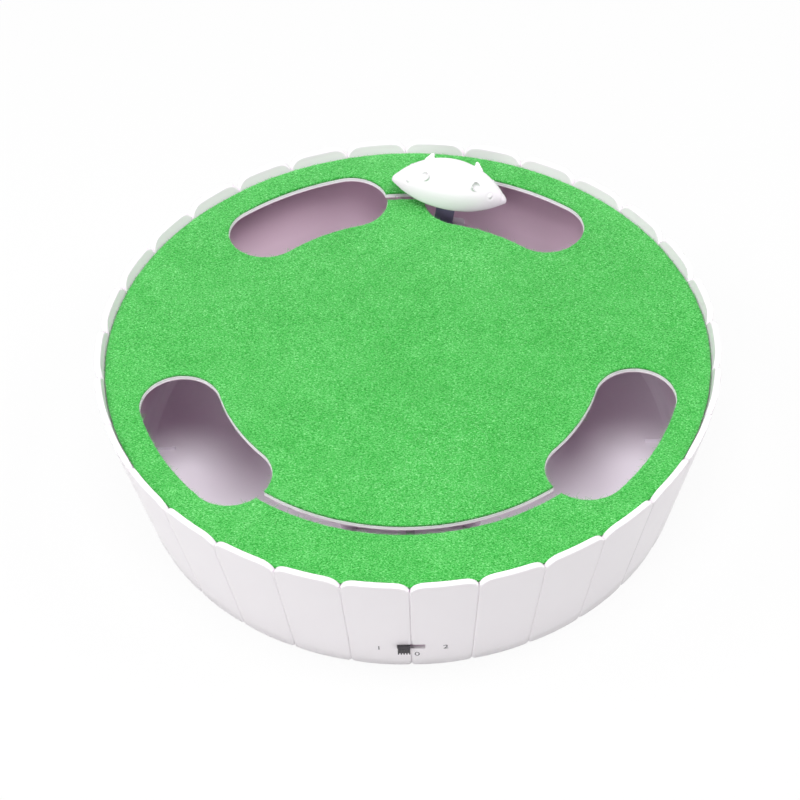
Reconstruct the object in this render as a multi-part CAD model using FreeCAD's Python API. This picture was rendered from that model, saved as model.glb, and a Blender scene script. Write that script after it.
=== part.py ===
import FreeCAD, Part
import math
import os
from FreeCAD import Vector

# Rotating mouse cat teaser: a round tub with a picket wall, a felt lawn with four
# burrow holes, and a double-headed mouse that a battery drive carries round the lawn.
# Millimetres. The origin is on the ground below the centre, +Z is up and -Y is the
# front, where the speed switch is. Azimuths run clockwise from the back (+Y).

os.makedirs("parts", exist_ok=True)

# Tub
top_radius = 125.0
rim_radius = 111.5
tub_height = 64.0
wall = 2.5
foot_proud = 1.0
floor_recess = 1.5
floor_thickness = 2.2
floor_bevel = 3.0
picket_count = 30
picket_corner = 6.0
groove_width = 0.9
groove_depth = 0.5
rim_nick = 1.2
ledge_count = 6
ledge_depth = 4.0
ledge_height = 10.0
ledge_thickness = 1.6
floor_rib_length = 12.0
floor_rib_height = 1.6

# Lawn
felt_below_tips = 4.5
felt_thickness = 1.3
board_thickness = 1.6
lawn_gap = 0.3
track_radius = 93.5
burrow_width = 31.8
back_burrow = 26.9
back_sweep = 24.2
front_burrow = 119.9
front_sweep = 26.6
slot_width = 4.2
board_rib_radius = 66.0
board_rib_height = 3.5
board_rib_thickness = 1.8
board_rib_count = 8
deck_post_azimuths = (0.0, 150.0, 210.0)
deck_post_inset = 7.5
deck_post_radius = 3.6
deck_boss_wall = 1.4
deck_boss_top = 20.0
centre_boss_drop = 1.0
deck_pilot_depth = 12.0
deck_screw_bite = 11.0

# Feet and screws
foot_pad_radius = 7.0
foot_pad_inset = 5.0
screw_head_height = 1.2
screw_play = 0.05
deck_screw_radius = 1.5
deck_screw_head = 2.8
small_screw_radius = 1.1
small_screw_head = 2.2

# Battery bay
cell_count = 3
cell_radius = 7.1
cell_length = 49.0
cell_nub_radius = 2.7
cell_nub_length = 1.2
cell_pitch = 15.0
bay_length = 58.0
bay_wall = 1.2
bay_x = -4.3
door_thickness = 2.0
door_gap = 0.2
tab_width = 10.0
tab_thickness = 1.2
tab_screw_y = 33.2
tab_boss_radius = 2.6
tab_boss_height = 6.3
contact_thickness = 0.4
contact_width = 8.0
contact_foot = 4.0
contact_head = 5.0
contact_nose = 1.0

# Drive housing with its cam rim
housing_radius = 46.0
rim_width = 3.0
cam_below_cover = 3.6
back_dive = (15.0, 35.0)
front_dive = (137.0, 115.0)
ear_ring = 49.0
ear_radius = 4.0
ear_height = 9.3
ear_azimuths = (30.0, 150.0, 210.0, 330.0)
plate_seat = 21.3
seat_width = 1.5
seat_thickness = 1.5

# Gearbox
plate_thickness = 1.5
cover_low = 31.0
cover_thickness = 2.0
plate_gap = 0.3
pillar_radius = 2.6
pillar_ring = 38.0
pillar_azimuths = (100.0, 215.0, 325.0)
gear_module = 0.6
gear_thickness = 2.2
gear_backlash = 0.12
layer_gap = 0.5
output_teeth = 40
last_pinion_teeth = 12
wheel_teeth = 34
pinion_teeth = 10
second_bearing = 60.0
first_bearing = 15.0
motor_bearing = -60.0
axle_radius = 1.0
axle_play = 0.05
shaft_radius = 2.0
shaft_play = 0.06
shaft_boss_wall = 1.8
shaft_boss_height = 2.8
collar_wall = 3.0
collar_height = 1.0
collar_play = 0.07
spigot_radius = 5.0
motor_length = 16.0
motor_radius = 7.75
motor_width = 12.0
motor_nose_radius = 2.5
motor_nose_height = 1.2
motor_shaft_radius = 0.75

# Rotor, arm and mouse post
rest_azimuth = 9.5
hub_radius = 6.0
hub_flange = 9.0
hub_gap = 3.0
hub_above_arm = 5.5
pivot_radius = 10.0
arm_width = 8.0
arm_height = 6.0
arm_flange = 1.6
arm_web = 2.4
cheek_thickness = 2.2
cheek_gap = 0.2
eye_radius = 4.2
pin_radius = 1.0
roller_ring = 44.5
roller_radius = 3.6
roller_width = 4.0
roller_gap = 0.3
roller_below_arm = 3.9
fork_thickness = 1.4
tilt_below_arm = 1.0
crosshead_width = 18.6
crosshead_depth = 9.0
crosshead_height = 3.0
post_width = 8.0
post_thickness = 2.4
post_gap = 0.25
rest_tilt = 8.2
clip_radius = 4.0
clip_thickness = 0.6

# Mouse
mouse_length = 49.8
mouse_width = 23.0
mouse_height = 15.0
belly_depth = 1.8
belly_flat = 12.0
belly_lip = 0.3
nose_radius = 2.2
mouse_lift = 21.0
socket_depth = 7.0
socket_wall = 1.5
mouse_screw_x = 13.0
mouse_screw_radius = 0.9
mouse_screw_head = 1.7
mouse_screw_head_height = 0.6
mouse_screw_seat = 0.7
mouse_screw_bite = 6.0
mouse_pilot_depth = 7.0
ear_x = 11.0
ear_y = 5.5
mouse_ear_radius = 2.4
mouse_ear_thickness = 1.4
ear_lean = 25.0

# Speed switch
switch_slot_length = 10.7
switch_slot_height = 3.4
switch_height = 15.7
switch_travel = 5.5
knob_length = 4.8
knob_height = 3.0
knob_proud = 2.5
knob_ribs = 4
switch_case_length = 19.0
switch_case_height = 7.0
switch_case_depth = 6.0
switch_ear = 4.5
switch_ear_thickness = 1.2
switch_pad_depth = 1.7
lead_width = 3.6
lead_thickness = 1.1
lead_bend = 5.0

# Control board
board_x = 33.5
board_length = 34.0
board_height = 14.0
board_edge = 1.6
chip_length = 10.0
chip_width = 6.0
chip_height = 1.6
capacitor_radius = 2.2
capacitor_height = 4.2
capacitor_y = 9.0
driver_y = -10.0
driver_length = 4.0
driver_width = 8.0
driver_height = 3.0

# Heights that follow
up = Vector(0, 0, 1)
rim_z = foot_proud
tips_z = rim_z + tub_height
floor_low = rim_z + floor_recess
floor_top = floor_low + floor_thickness
felt_top = tips_z - felt_below_tips
board_top = felt_top - felt_thickness
board_low = board_top - board_thickness
rib_low = board_low - board_rib_height
deck_post_ring = rim_radius - deck_post_inset
foot_pad_ring = rim_radius - wall - foot_pad_radius - foot_pad_inset
plate_top = plate_seat + plate_thickness
cover_top = cover_low + cover_thickness
collar_top = cover_top + collar_height
hub_top = rib_low - centre_boss_drop - hub_gap
arm_z = hub_top - hub_above_arm
tilt_z = arm_z - tilt_below_arm
mouse_z = tilt_z + mouse_lift
cam_high = arm_z - roller_below_arm - roller_radius
cam_low = cover_top - cam_below_cover
housing_bore = housing_radius - rim_width
bay_width = cell_count * cell_pitch
cell_z = floor_low + door_thickness + 0.4 + cell_radius
bay_top = cell_z + cell_radius + 0.2
switch_z = rim_z + switch_height
deck_boss_radius = deck_post_radius + deck_boss_wall
burrows = ((back_burrow, back_sweep), (front_burrow, front_sweep))


def outer_radius(z):
    """Outer radius of the tapered tub wall at a height."""
    return rim_radius + (top_radius - rim_radius) * (z - rim_z) / tub_height


def inner_radius(z):
    return outer_radius(z) - wall


switch_face = inner_radius(switch_z) - switch_pad_depth


def at(azimuth, radius, z=0.0):
    """A point by azimuth, radius and height."""
    a = math.radians(azimuth)
    return Vector(radius * math.sin(a), radius * math.cos(a), z)


def turned(shape, azimuth):
    """A copy of a shape modelled at the back, turned to an azimuth."""
    return shape.rotated(Vector(0, 0, 0), up, -azimuth)


def disc(radius, low, high, x=0.0, y=0.0):
    return Part.makeCylinder(radius, high - low, Vector(x, y, low))


def tube(outer, inner, low, high, x=0.0, y=0.0):
    return disc(outer, low, high, x, y).cut(disc(inner, low - 1, high + 1, x, y))


def block(x0, x1, y0, y1, z0, z1):
    return Part.makeBox(x1 - x0, y1 - y0, z1 - z0, Vector(x0, y0, z0))


def rod(radius, start, end):
    return Part.makeCylinder(radius, (end - start).Length, start, end - start)


def polygon_face(points):
    return Part.Face(Part.makePolygon(points + [points[0]]))


def sweep_arc(start, end, radius, z):
    middle = (start + end) / 2
    return Part.Arc(at(start, radius, z), at(middle, radius, z), at(end, radius, z)).toShape()


def prism(edges, height):
    return Part.Face(Part.Wire(edges)).extrude(Vector(0, 0, height))


def save(node, shape):
    shape.exportStep("parts/" + node + ".step")


def group(solids):
    return Part.makeCompound(solids)


def shank(radius, start, end):
    """Plain six-sided shank that stands for a threaded one."""
    along = (end - start).normalize()
    side = along.cross(Vector(1, 0, 0)).normalize() * radius
    points = []
    for k in range(6):
        spoke = FreeCAD.Rotation(along, 60 * k).multVec(side)
        points.append(start + spoke)
    return polygon_face(points).extrude(end - start)


def screw(x, y, seat, head_radius, shank_radius, length):
    """A screw driven upwards: its head hangs below the seat, its shank stands above."""
    head = disc(head_radius, seat - screw_head_height, seat, x, y)
    return head.fuse(shank(shank_radius, Vector(x, y, seat), Vector(x, y, seat + length)))


# Lawn outline: burrow holes with full round ends and the slots that join them

def burrow(middle, sweep, low, high):
    first = middle - sweep / 2
    last = middle + sweep / 2
    half = burrow_width / 2
    edges = [sweep_arc(first, last, track_radius + half, low)]
    edges.append(round_end(last, half, low))
    edges.append(sweep_arc(last, first, track_radius - half, low))
    edges.append(round_end(first, -half, low))
    return prism(edges, high - low)


def round_end(azimuth, half, z):
    """Half circle across the track; half is negative where the arc runs outwards."""
    along = Vector(math.cos(math.radians(azimuth)), -math.sin(math.radians(azimuth)), 0)
    tip = at(azimuth, track_radius, z) + along * half
    return Part.Arc(at(azimuth, track_radius + half, z), tip, at(azimuth, track_radius - half, z)).toShape()


def sector(start, end, inner, outer, low, high):
    edges = [sweep_arc(start, end, outer, low)]
    edges.append(Part.LineSegment(at(end, outer, low), at(end, inner, low)).toShape())
    edges.append(sweep_arc(end, start, inner, low))
    edges.append(Part.LineSegment(at(start, inner, low), at(start, outer, low)).toShape())
    return prism(edges, high - low)


def lawn_sheet(radius, low, high):
    """A disc with the four burrow holes and the two slots."""
    under = low - 1
    over = high + 1
    cutters = [burrow(side * middle, sweep, under, over) for middle, sweep in burrows for side in (-1, 1)]
    inner = track_radius - slot_width / 2
    outer = track_radius + slot_width / 2
    back_reach = back_burrow - back_sweep / 2
    front_reach = front_burrow + front_sweep / 2
    cutters.append(sector(-back_reach, back_reach, inner, outer, under, over))
    cutters.append(sector(front_reach, 360 - front_reach, inner, outer, under, over))
    return disc(radius, low, high).cut(cutters)


# Tub

def picket_notch():
    """The gap between two picket tips: two corner arcs that meet on the seam."""
    r = picket_corner
    z = tips_z - r + 0.08
    y = inner_radius(tips_z) - 8
    lean = math.sqrt(0.5) * r
    left = Part.Arc(Vector(-r, y, z + r), Vector(-r + lean, y, z + lean), Vector(0, y, z)).toShape()
    right = Part.Arc(Vector(0, y, z), Vector(r - lean, y, z + lean), Vector(r, y, z + r)).toShape()
    top = Part.makePolygon([Vector(r, y, z + r), Vector(r, y, tips_z + 1), Vector(-r, y, tips_z + 1), Vector(-r, y, z + r)])
    face = Part.Face(Part.Wire([left, right] + top.Edges))
    return face.extrude(Vector(0, top_radius - y + 2, 0))


def seam_groove():
    """A V groove that follows the slope of the wall up to the notch."""
    low = rim_z - 0.5
    high = tips_z - picket_corner + 0.5
    r = outer_radius(low)
    half = groove_width / 2
    proud = 0.3
    spread = half * (groove_depth + proud) / groove_depth
    points = [Vector(0, r - groove_depth, low), Vector(spread, r + proud, low), Vector(-spread, r + proud, low)]
    return polygon_face(points).extrude(Vector(0, outer_radius(high) - r, high - low))


def bottom_nick():
    """A small V cut at the foot of a seam."""
    y = rim_radius - wall / 2
    points = [Vector(-rim_nick, y, rim_z - 0.1), Vector(rim_nick, y, rim_z - 0.1), Vector(0, y, rim_z + rim_nick)]
    return polygon_face(points).extrude(Vector(0, wall, 0))


def wall_ledge():
    """A small gusset on the wall that the lawn board rests on."""
    r = inner_radius(board_low)
    foot = board_low - ledge_height
    half = ledge_thickness / 2
    points = [Vector(-half, r + 0.8, board_low), Vector(-half, r - ledge_depth, board_low)]
    points.append(Vector(-half, inner_radius(foot) - 0.6, foot))
    points.append(Vector(-half, inner_radius(foot) + 0.8, foot))
    return polygon_face(points).extrude(Vector(ledge_thickness, 0, 0))


def fence_tub():
    body = Part.makeCone(rim_radius, top_radius, tub_height, Vector(0, 0, rim_z))
    hollow_height = tips_z + 1 - floor_top
    hollow = Part.makeCone(inner_radius(floor_top), inner_radius(tips_z + 1), hollow_height, Vector(0, 0, floor_top))
    floor_edge = [e for e in hollow.Edges if e.Vertexes[0].Z < floor_top + 0.1 and len(e.Vertexes) == 1]
    hollow = hollow.makeChamfer(floor_bevel, floor_edge)
    body = body.cut(hollow)
    body = body.cut(disc(rim_radius - wall, rim_z - 1, floor_low))
    half = bay_width / 2
    additions = [turned(wall_ledge(), (k + 0.5) * 360 / ledge_count) for k in range(ledge_count)]
    for azimuth in deck_post_azimuths:
        p = at(azimuth, deck_post_ring)
        additions.append(disc(deck_boss_radius, floor_top - 1, deck_boss_top, p.x, p.y))
    for side in (-1, 1):
        y = side * tab_screw_y
        additions.append(disc(tab_boss_radius, floor_top - 1, floor_top + tab_boss_height, bay_x, y))
        rib_end = side * (inner_radius(floor_top) + 0.5)
        ends = sorted((rib_end, side * (inner_radius(floor_top) - floor_rib_length)))
        additions.append(block(ends[0], ends[1], -0.5, 0.5, floor_top - 1, floor_top + floor_rib_height))
        x = side * (switch_case_length / 2 + switch_ear / 2)
        additions.append(switch_boss(x))
    body = body.fuse(additions)
    cutters = []
    for k in range(picket_count):
        azimuth = k * 360 / picket_count
        cutters.append(turned(picket_notch(), azimuth))
        cutters.append(turned(seam_groove(), azimuth))
        cutters.append(turned(bottom_nick(), azimuth))
    cutters.append(block(bay_x - half, bay_x + half, -bay_length / 2, bay_length / 2, floor_low - 1, floor_top + 1))
    reach = tab_screw_y + tab_width / 2
    recess = tab_width / 2 + door_gap
    cutters.append(block(bay_x - recess, bay_x + recess, -reach, reach, floor_low - 1, floor_low + tab_thickness))
    for side in (-1, 1):
        tab_hole = small_screw_radius + screw_play
        cutters.append(disc(tab_hole, floor_low, floor_top + tab_boss_height - 1, bay_x, side * tab_screw_y))
    for azimuth in ear_azimuths:
        p = at(azimuth, ear_ring)
        cutters.append(disc(small_screw_radius + screw_play, floor_low - 1, floor_top + 1, p.x, p.y))
    for azimuth in deck_post_azimuths:
        p = at(azimuth, deck_post_ring)
        seat = deck_boss_top - 2 * screw_head_height
        cutters.append(disc(deck_screw_head + screw_play, floor_low - 1, seat, p.x, p.y))
        cutters.append(disc(deck_screw_radius + screw_play, floor_low, deck_boss_top + 1, p.x, p.y))
    window = switch_slot_length / 2
    rise = switch_slot_height / 2
    cutters.append(block(-window, window, -top_radius, -switch_face, switch_z - rise, switch_z + rise))
    for side in (-1, 1):
        x = side * (switch_case_length / 2 + switch_ear / 2)
        cutters.append(rod(small_screw_radius + screw_play, Vector(x, -switch_face - 1.6, switch_z), Vector(x, -switch_face + 1, switch_z)))
    return body.cut(cutters)


def switch_boss(x):
    """A pad behind the wall that one ear of the switch is screwed to."""
    half = switch_ear / 2
    low = switch_z - switch_case_height / 2
    return block(x - half, x + half, -inner_radius(low) - 1, -switch_face, low, low + switch_case_height)


def play_deck():
    board = lawn_sheet(inner_radius(board_low) - lawn_gap, board_low, board_top)
    ring = tube(board_rib_radius + board_rib_thickness, board_rib_radius, rib_low, board_low)
    centre_wall = shaft_radius + shaft_boss_wall + 1
    centre = tube(centre_wall, shaft_radius + screw_play, rib_low - centre_boss_drop, board_low)
    additions = [ring, centre]
    for k in range(board_rib_count):
        half = board_rib_thickness / 2
        spoke = block(-half, half, shaft_radius + shaft_boss_wall, board_rib_radius + 0.5, rib_low, board_low)
        additions.append(turned(spoke, (k + 0.5) * 360 / board_rib_count))
    for azimuth in deck_post_azimuths:
        p = at(azimuth, deck_post_ring)
        additions.append(disc(deck_post_radius, deck_boss_top, board_low, p.x, p.y))
    board = board.fuse(additions)
    pilots = []
    for azimuth in deck_post_azimuths:
        p = at(azimuth, deck_post_ring)
        pilots.append(disc(deck_screw_radius + screw_play, deck_boss_top - 1, deck_boss_top + deck_pilot_depth, p.x, p.y))
    return board.cut(pilots).removeSplitter()


def felt_mat():
    return lawn_sheet(inner_radius(board_top) - 0.1, board_top, felt_top)


def deck_screws():
    screws = []
    for azimuth in deck_post_azimuths:
        p = at(azimuth, deck_post_ring)
        seat = deck_boss_top - 2 * screw_head_height
        screws.append(screw(p.x, p.y, seat, deck_screw_head, deck_screw_radius, 2 * screw_head_height + deck_screw_bite))
    return group(screws)


def rubber_feet():
    pads = []
    for azimuth in (45, 135, 225, 315):
        p = at(azimuth, foot_pad_ring)
        pads.append(disc(foot_pad_radius, 0, floor_low, p.x, p.y))
    return group(pads)


# Battery bay

def battery_box():
    half_x = bay_width / 2
    half_y = bay_length / 2
    box = block(bay_x - half_x - bay_wall, bay_x + half_x + bay_wall, -half_y - bay_wall, half_y + bay_wall,
                floor_top, bay_top + bay_wall)
    box = box.cut(block(bay_x - half_x, bay_x + half_x, -half_y, half_y, floor_top - 1, bay_top))
    rails = []
    for side in (-1, 1):
        y = side * board_length / 2
        rail = block(-board_x - 2 * board_edge, bay_x - half_x - bay_wall, y - board_edge, y + board_edge, floor_top, bay_top)
        rails.append(rail)
    box = box.fuse(rails)
    slot = block(-board_x - board_edge / 2, -board_x + board_edge / 2, -board_length / 2, board_length / 2, board_low_z() - 0.1, bay_top + 1)
    return box.cut(slot)


def board_low_z():
    return bay_top - board_height


def battery_door():
    half_x = bay_width / 2 - door_gap
    half_y = bay_length / 2 - door_gap
    door = block(bay_x - half_x, bay_x + half_x, -half_y, half_y, floor_low, floor_low + door_thickness)
    reach = tab_screw_y + tab_width / 2 - door_gap
    door = door.fuse(block(bay_x - tab_width / 2, bay_x + tab_width / 2, -reach, reach, floor_low, floor_low + tab_thickness))
    holes = [disc(small_screw_radius + screw_play, floor_low - 1, floor_top, bay_x, side * tab_screw_y) for side in (-1, 1)]
    grips = []
    for k in range(5):
        y = -6 + 3 * k
        grips.append(block(bay_x - 8, bay_x + 8, y - 0.5, y + 0.5, floor_low - 1, floor_low + 0.5))
    return door.cut(holes + grips).removeSplitter()


def door_screws():
    length = floor_thickness + tab_boss_height - 2
    return group([screw(bay_x, side * tab_screw_y, floor_low, small_screw_head, small_screw_radius, length) for side in (-1, 1)])


def aa_cells():
    cells = []
    for k in range(cell_count):
        x = bay_x + (k - (cell_count - 1) / 2) * cell_pitch
        way = 1 if k % 2 else -1
        foot = Vector(x, -way * (cell_length + cell_nub_length) / 2, cell_z)
        shoulder = foot + Vector(0, way * cell_length, 0)
        tip = shoulder + Vector(0, way * cell_nub_length, 0)
        can = rod(cell_radius, foot, shoulder)
        cells.append(can.fuse(rod(cell_nub_radius, shoulder, tip)).removeSplitter())
    return group(cells)


def battery_contacts():
    """At each end of each cell a plate on the wall with a bent leaf that meets the cell."""
    leaves = []
    reach = (cell_length + cell_nub_length) / 2
    for k in range(cell_count):
        x = bay_x + (k - (cell_count - 1) / 2) * cell_pitch
        for side in (-1, 1):
            wall_y = bay_length / 2
            t = contact_thickness
            head = cell_z + contact_head
            foot = cell_z - contact_foot
            points = [(wall_y, foot), (wall_y, head), (wall_y - t, head)]
            points += [(reach, cell_z + contact_nose), (reach, cell_z - contact_nose), (wall_y - t, foot)]
            inner = [(wall_y - t, head - 1.75 * t), (reach + t, cell_z + contact_nose - t / 4)]
            inner += [(reach + t, cell_z - contact_nose + t / 4), (wall_y - t, foot + 1.5 * t)]
            left = x - contact_width / 2
            outline = polygon_face([Vector(left, side * y, z) for y, z in points])
            window = polygon_face([Vector(left, side * y, z) for y, z in inner])
            leaves.append(outline.cut(window).extrude(Vector(contact_width, 0, 0)))
    return group([leaf.Solids[0] for leaf in leaves])


# Drive housing, whose rim is the cam that the arm's roller runs on

def ramp(high_azimuth, low_azimuth):
    """Cutter for one slope of the cam rim, cut by a plane along the middle radius."""
    middle = (high_azimuth + low_azimuth) / 2
    half = roller_ring * math.sin(math.radians(low_azimuth - high_azimuth) / 2)
    over = 1.5 if half > 0 else -1.5
    y = housing_bore - 4
    points = [Vector(-half, y, cam_high), Vector(half, y, cam_low), Vector(half + over, y, cam_low)]
    points += [Vector(half + over, y, cam_high + 2), Vector(-half, y, cam_high + 2)]
    return turned(polygon_face(points).extrude(Vector(0, rim_width + 8, 0)), middle)


def drive_housing():
    drum = tube(housing_radius, housing_bore, floor_top, cam_high)
    seat = tube(housing_bore + 0.5, housing_bore - seat_width, plate_seat - seat_thickness, plate_seat)
    ears = []
    holes = []
    for azimuth in ear_azimuths:
        p = at(azimuth, ear_ring)
        ears.append(disc(ear_radius, floor_top, floor_top + ear_height, p.x, p.y).cut(disc(housing_bore + 1, floor_top - 1, cam_high)))
        holes.append(disc(small_screw_radius + screw_play, floor_top - 1, floor_top + ear_height - 1.5, p.x, p.y))
    drum = drum.fuse([seat] + ears)
    cutters = []
    for side in (-1, 1):
        limits = sorted((side * back_dive[1], side * front_dive[1]))
        cutters.append(sector(limits[0], limits[1], housing_bore - 1, housing_radius + 1, cam_low, cam_high + 1))
        cutters.append(ramp(side * back_dive[0], side * back_dive[1]))
        cutters.append(ramp(side * front_dive[0], side * front_dive[1]))
    half = lead_width / 2 + 0.3
    lead_hole = block(-half, half, -housing_radius - 1, -housing_bore + 1, floor_top, floor_top + lead_thickness + 0.3)
    return drum.cut(cutters + holes + [lead_hole])


def housing_screws():
    screws = []
    for azimuth in ear_azimuths:
        p = at(azimuth, ear_ring)
        screws.append(screw(p.x, p.y, floor_low, small_screw_head, small_screw_radius, floor_thickness + ear_height - 2.5))
    return group(screws)


# Gears

def involute(angle):
    return math.tan(angle) - angle


def gear_outline(teeth, phase, x, y, z):
    """Outline of a spur gear; phase is the direction of one tooth. Each flank is a chord
    or two of the involute from the base circle to the tip."""
    pitch = gear_module * teeth / 2
    base = pitch * math.cos(math.radians(20))
    tip = pitch + 0.85 * gear_module
    root = pitch - 1.2 * gear_module
    half_tooth = (math.pi / 2 - gear_backlash / gear_module) / teeth
    flank = []
    for radius in (root, tip) if teeth > 20 else (root, base, pitch, tip):
        pressure = math.acos(min(1.0, base / radius))
        flank.append((radius, half_tooth + involute(math.radians(20)) - involute(pressure)))
    tooth = [(radius, -angle) for radius, angle in flank] + [(radius, angle) for radius, angle in reversed(flank)]
    points = []
    for k in range(teeth):
        centre = math.radians(phase) + 2 * math.pi * k / teeth
        for radius, angle in tooth:
            points.append(Vector(x + radius * math.cos(centre + angle), y + radius * math.sin(centre + angle), z))
    return points


def gear(teeth, phase, place, low, high):
    return polygon_face(gear_outline(teeth, phase, place.x, place.y, low)).extrude(Vector(0, 0, high - low))


def mesh_phase(teeth_a, phase_a, place_a, teeth_b, place_b):
    """Direction of one tooth of gear b that puts it in mesh with gear a."""
    line = math.degrees(math.atan2(place_b.y - place_a.y, place_b.x - place_a.x))
    behind = (line - phase_a) % (360 / teeth_a)
    return line + 180 + 180 / teeth_b + behind * teeth_a / teeth_b


def centre_distance(teeth_a, teeth_b):
    return gear_module * (teeth_a + teeth_b) / 2


def step_from(place, distance, bearing):
    a = math.radians(bearing)
    return place + Vector(distance * math.cos(a), distance * math.sin(a), 0)


centre = Vector(0, 0, 0)
second_place = step_from(centre, centre_distance(output_teeth, last_pinion_teeth), second_bearing)
first_place = step_from(second_place, centre_distance(wheel_teeth, pinion_teeth), first_bearing)
motor_place = step_from(first_place, centre_distance(wheel_teeth, pinion_teeth), motor_bearing)
output_phase = 0.0
last_pinion_phase = mesh_phase(output_teeth, output_phase, centre, last_pinion_teeth, second_place)
second_wheel_phase = 0.0
first_pinion_phase = mesh_phase(wheel_teeth, second_wheel_phase, second_place, pinion_teeth, first_place)
first_wheel_phase = 0.0
motor_pinion_phase = mesh_phase(wheel_teeth, first_wheel_phase, first_place, pinion_teeth, motor_place)
layer_low = [plate_top + layer_gap + k * (gear_thickness + layer_gap) for k in range(3)]


def output_gear():
    low = layer_low[2]
    wheel = gear(output_teeth, output_phase, centre, low, low + gear_thickness)
    return wheel.cut(disc(spigot_radius - 1 + 0.02, low - 1, low + gear_thickness + 1))


def second_gear():
    x, y = second_place.x, second_place.y
    wheel = gear(wheel_teeth, second_wheel_phase, second_place, layer_low[1], layer_low[1] + gear_thickness)
    pinion = gear(last_pinion_teeth, last_pinion_phase, second_place, layer_low[1] + 1, cover_low - plate_gap)
    spacer = disc(2 * axle_radius, plate_top + plate_gap, layer_low[1] + 1, x, y)
    return wheel.fuse([pinion, spacer]).cut(disc(axle_radius + axle_play, plate_top, cover_low, x, y))


def first_gear():
    x, y = first_place.x, first_place.y
    wheel = gear(wheel_teeth, first_wheel_phase, first_place, layer_low[0], layer_low[0] + gear_thickness)
    pinion_top = layer_low[1] + gear_thickness + plate_gap
    pinion = gear(pinion_teeth, first_pinion_phase, first_place, layer_low[0] + 1, pinion_top)
    spacer = disc(2 * axle_radius - 0.2, plate_top + plate_gap, cover_low - plate_gap, x, y)
    return wheel.fuse([pinion, spacer]).cut(disc(axle_radius + axle_play, plate_top, cover_low, x, y))


def motor_pinion():
    low = layer_low[0] - 0.1
    pinion = gear(pinion_teeth, motor_pinion_phase, motor_place, low, layer_low[0] + gear_thickness + 0.1)
    return pinion.cut(disc(motor_shaft_radius, low - 1, low + 2 * gear_thickness, motor_place.x, motor_place.y))


def motor_shaft():
    low = plate_seat - motor_length / 2
    return disc(motor_shaft_radius, low, layer_low[0] + gear_thickness + 0.4, motor_place.x, motor_place.y)


def motor():
    x, y = motor_place.x, motor_place.y
    low = plate_seat - motor_length
    can = disc(motor_radius, low, plate_seat, x, y)
    can = can.common(block(x - motor_width / 2, x + motor_width / 2, y - 10, y + 10, low, plate_seat))
    can = can.fuse(disc(motor_nose_radius, plate_seat, plate_seat + motor_nose_height, x, y))
    return can.cut(disc(motor_shaft_radius + axle_play, low + motor_length / 2 - 0.5, plate_top, x, y)).removeSplitter()


def gearbox_base():
    plate = disc(housing_bore - plate_gap, plate_seat, plate_top)
    additions = [disc(shaft_radius + shaft_boss_wall, plate_seat, plate_top + shaft_boss_height)]
    cutters = [disc(shaft_radius, plate_seat + 0.5, cover_top)]
    for azimuth in pillar_azimuths:
        p = at(azimuth, pillar_ring)
        additions.append(disc(pillar_radius, plate_seat, cover_low, p.x, p.y))
        cutters.append(disc(small_screw_radius + screw_play, plate_top, cover_top, p.x, p.y))
    for place in (first_place, second_place):
        cutters.append(disc(axle_radius, plate_seat - 1, cover_top, place.x, place.y))
    cutters.append(disc(motor_nose_radius + 0.1, plate_seat - 1, cover_top, motor_place.x, motor_place.y))
    return plate.fuse(additions).cut(cutters).removeSplitter()


def gearbox_cover():
    cover = disc(housing_bore - plate_gap, cover_low, cover_top)
    bore = spigot_radius + collar_play
    cover = cover.fuse(disc(bore + collar_wall, cover_low, collar_top))
    cutters = [disc(bore, cover_low - 1, collar_top + 1)]
    for azimuth in pillar_azimuths:
        p = at(azimuth, pillar_ring)
        cutters.append(disc(small_screw_radius + screw_play, cover_low - 1, cover_top + 1, p.x, p.y))
    for place in (first_place, second_place):
        cutters.append(disc(axle_radius, cover_low - 1, cover_top - 0.5, place.x, place.y))
    return cover.cut(cutters).removeSplitter()


def gearbox_screws():
    screws = []
    for azimuth in pillar_azimuths:
        p = at(azimuth, pillar_ring)
        head = disc(small_screw_head, cover_top, cover_top + screw_head_height, p.x, p.y)
        screws.append(head.fuse(shank(small_screw_radius, Vector(p.x, p.y, cover_top), Vector(p.x, p.y, plate_top + 1))))
    return group(screws)


def gear_axles():
    return group([disc(axle_radius, plate_seat, cover_top - 0.6, place.x, place.y) for place in (first_place, second_place)])


def main_shaft():
    return disc(shaft_radius, plate_seat + 0.5, board_low - 0.4)


# Rotor and arm are modelled towards the back and turned to the azimuth of rest

def rotor_hub():
    gear_low = layer_low[2]
    foot = collar_top + 0.2
    body = disc(spigot_radius - 1, gear_low - 0.2, cover_low)
    body = body.fuse(disc(spigot_radius, gear_low + gear_thickness + 0.1, foot))
    body = body.fuse([disc(hub_flange, foot, foot + 1.8), disc(hub_radius - 1, foot, hub_top)])
    inner = arm_width / 2 + cheek_gap
    outer = inner + cheek_thickness
    cheeks = []
    for side in (-1, 1):
        x0, x1 = sorted((side * inner, side * outer))
        cheeks.append(cheek(x0, x1, foot + 1))
    body = body.fuse(cheeks)
    pin_hole = rod(pin_radius, Vector(-outer - 1, pivot_radius, arm_z), Vector(outer + 1, pivot_radius, arm_z))
    room = rod(eye_radius + 0.5, Vector(-inner, pivot_radius, arm_z), Vector(inner, pivot_radius, arm_z))
    body = body.cut([pin_hole, room, disc(shaft_radius + shaft_play, gear_low - 1, hub_top + 1)])
    return turned(body, rest_azimuth)


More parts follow.
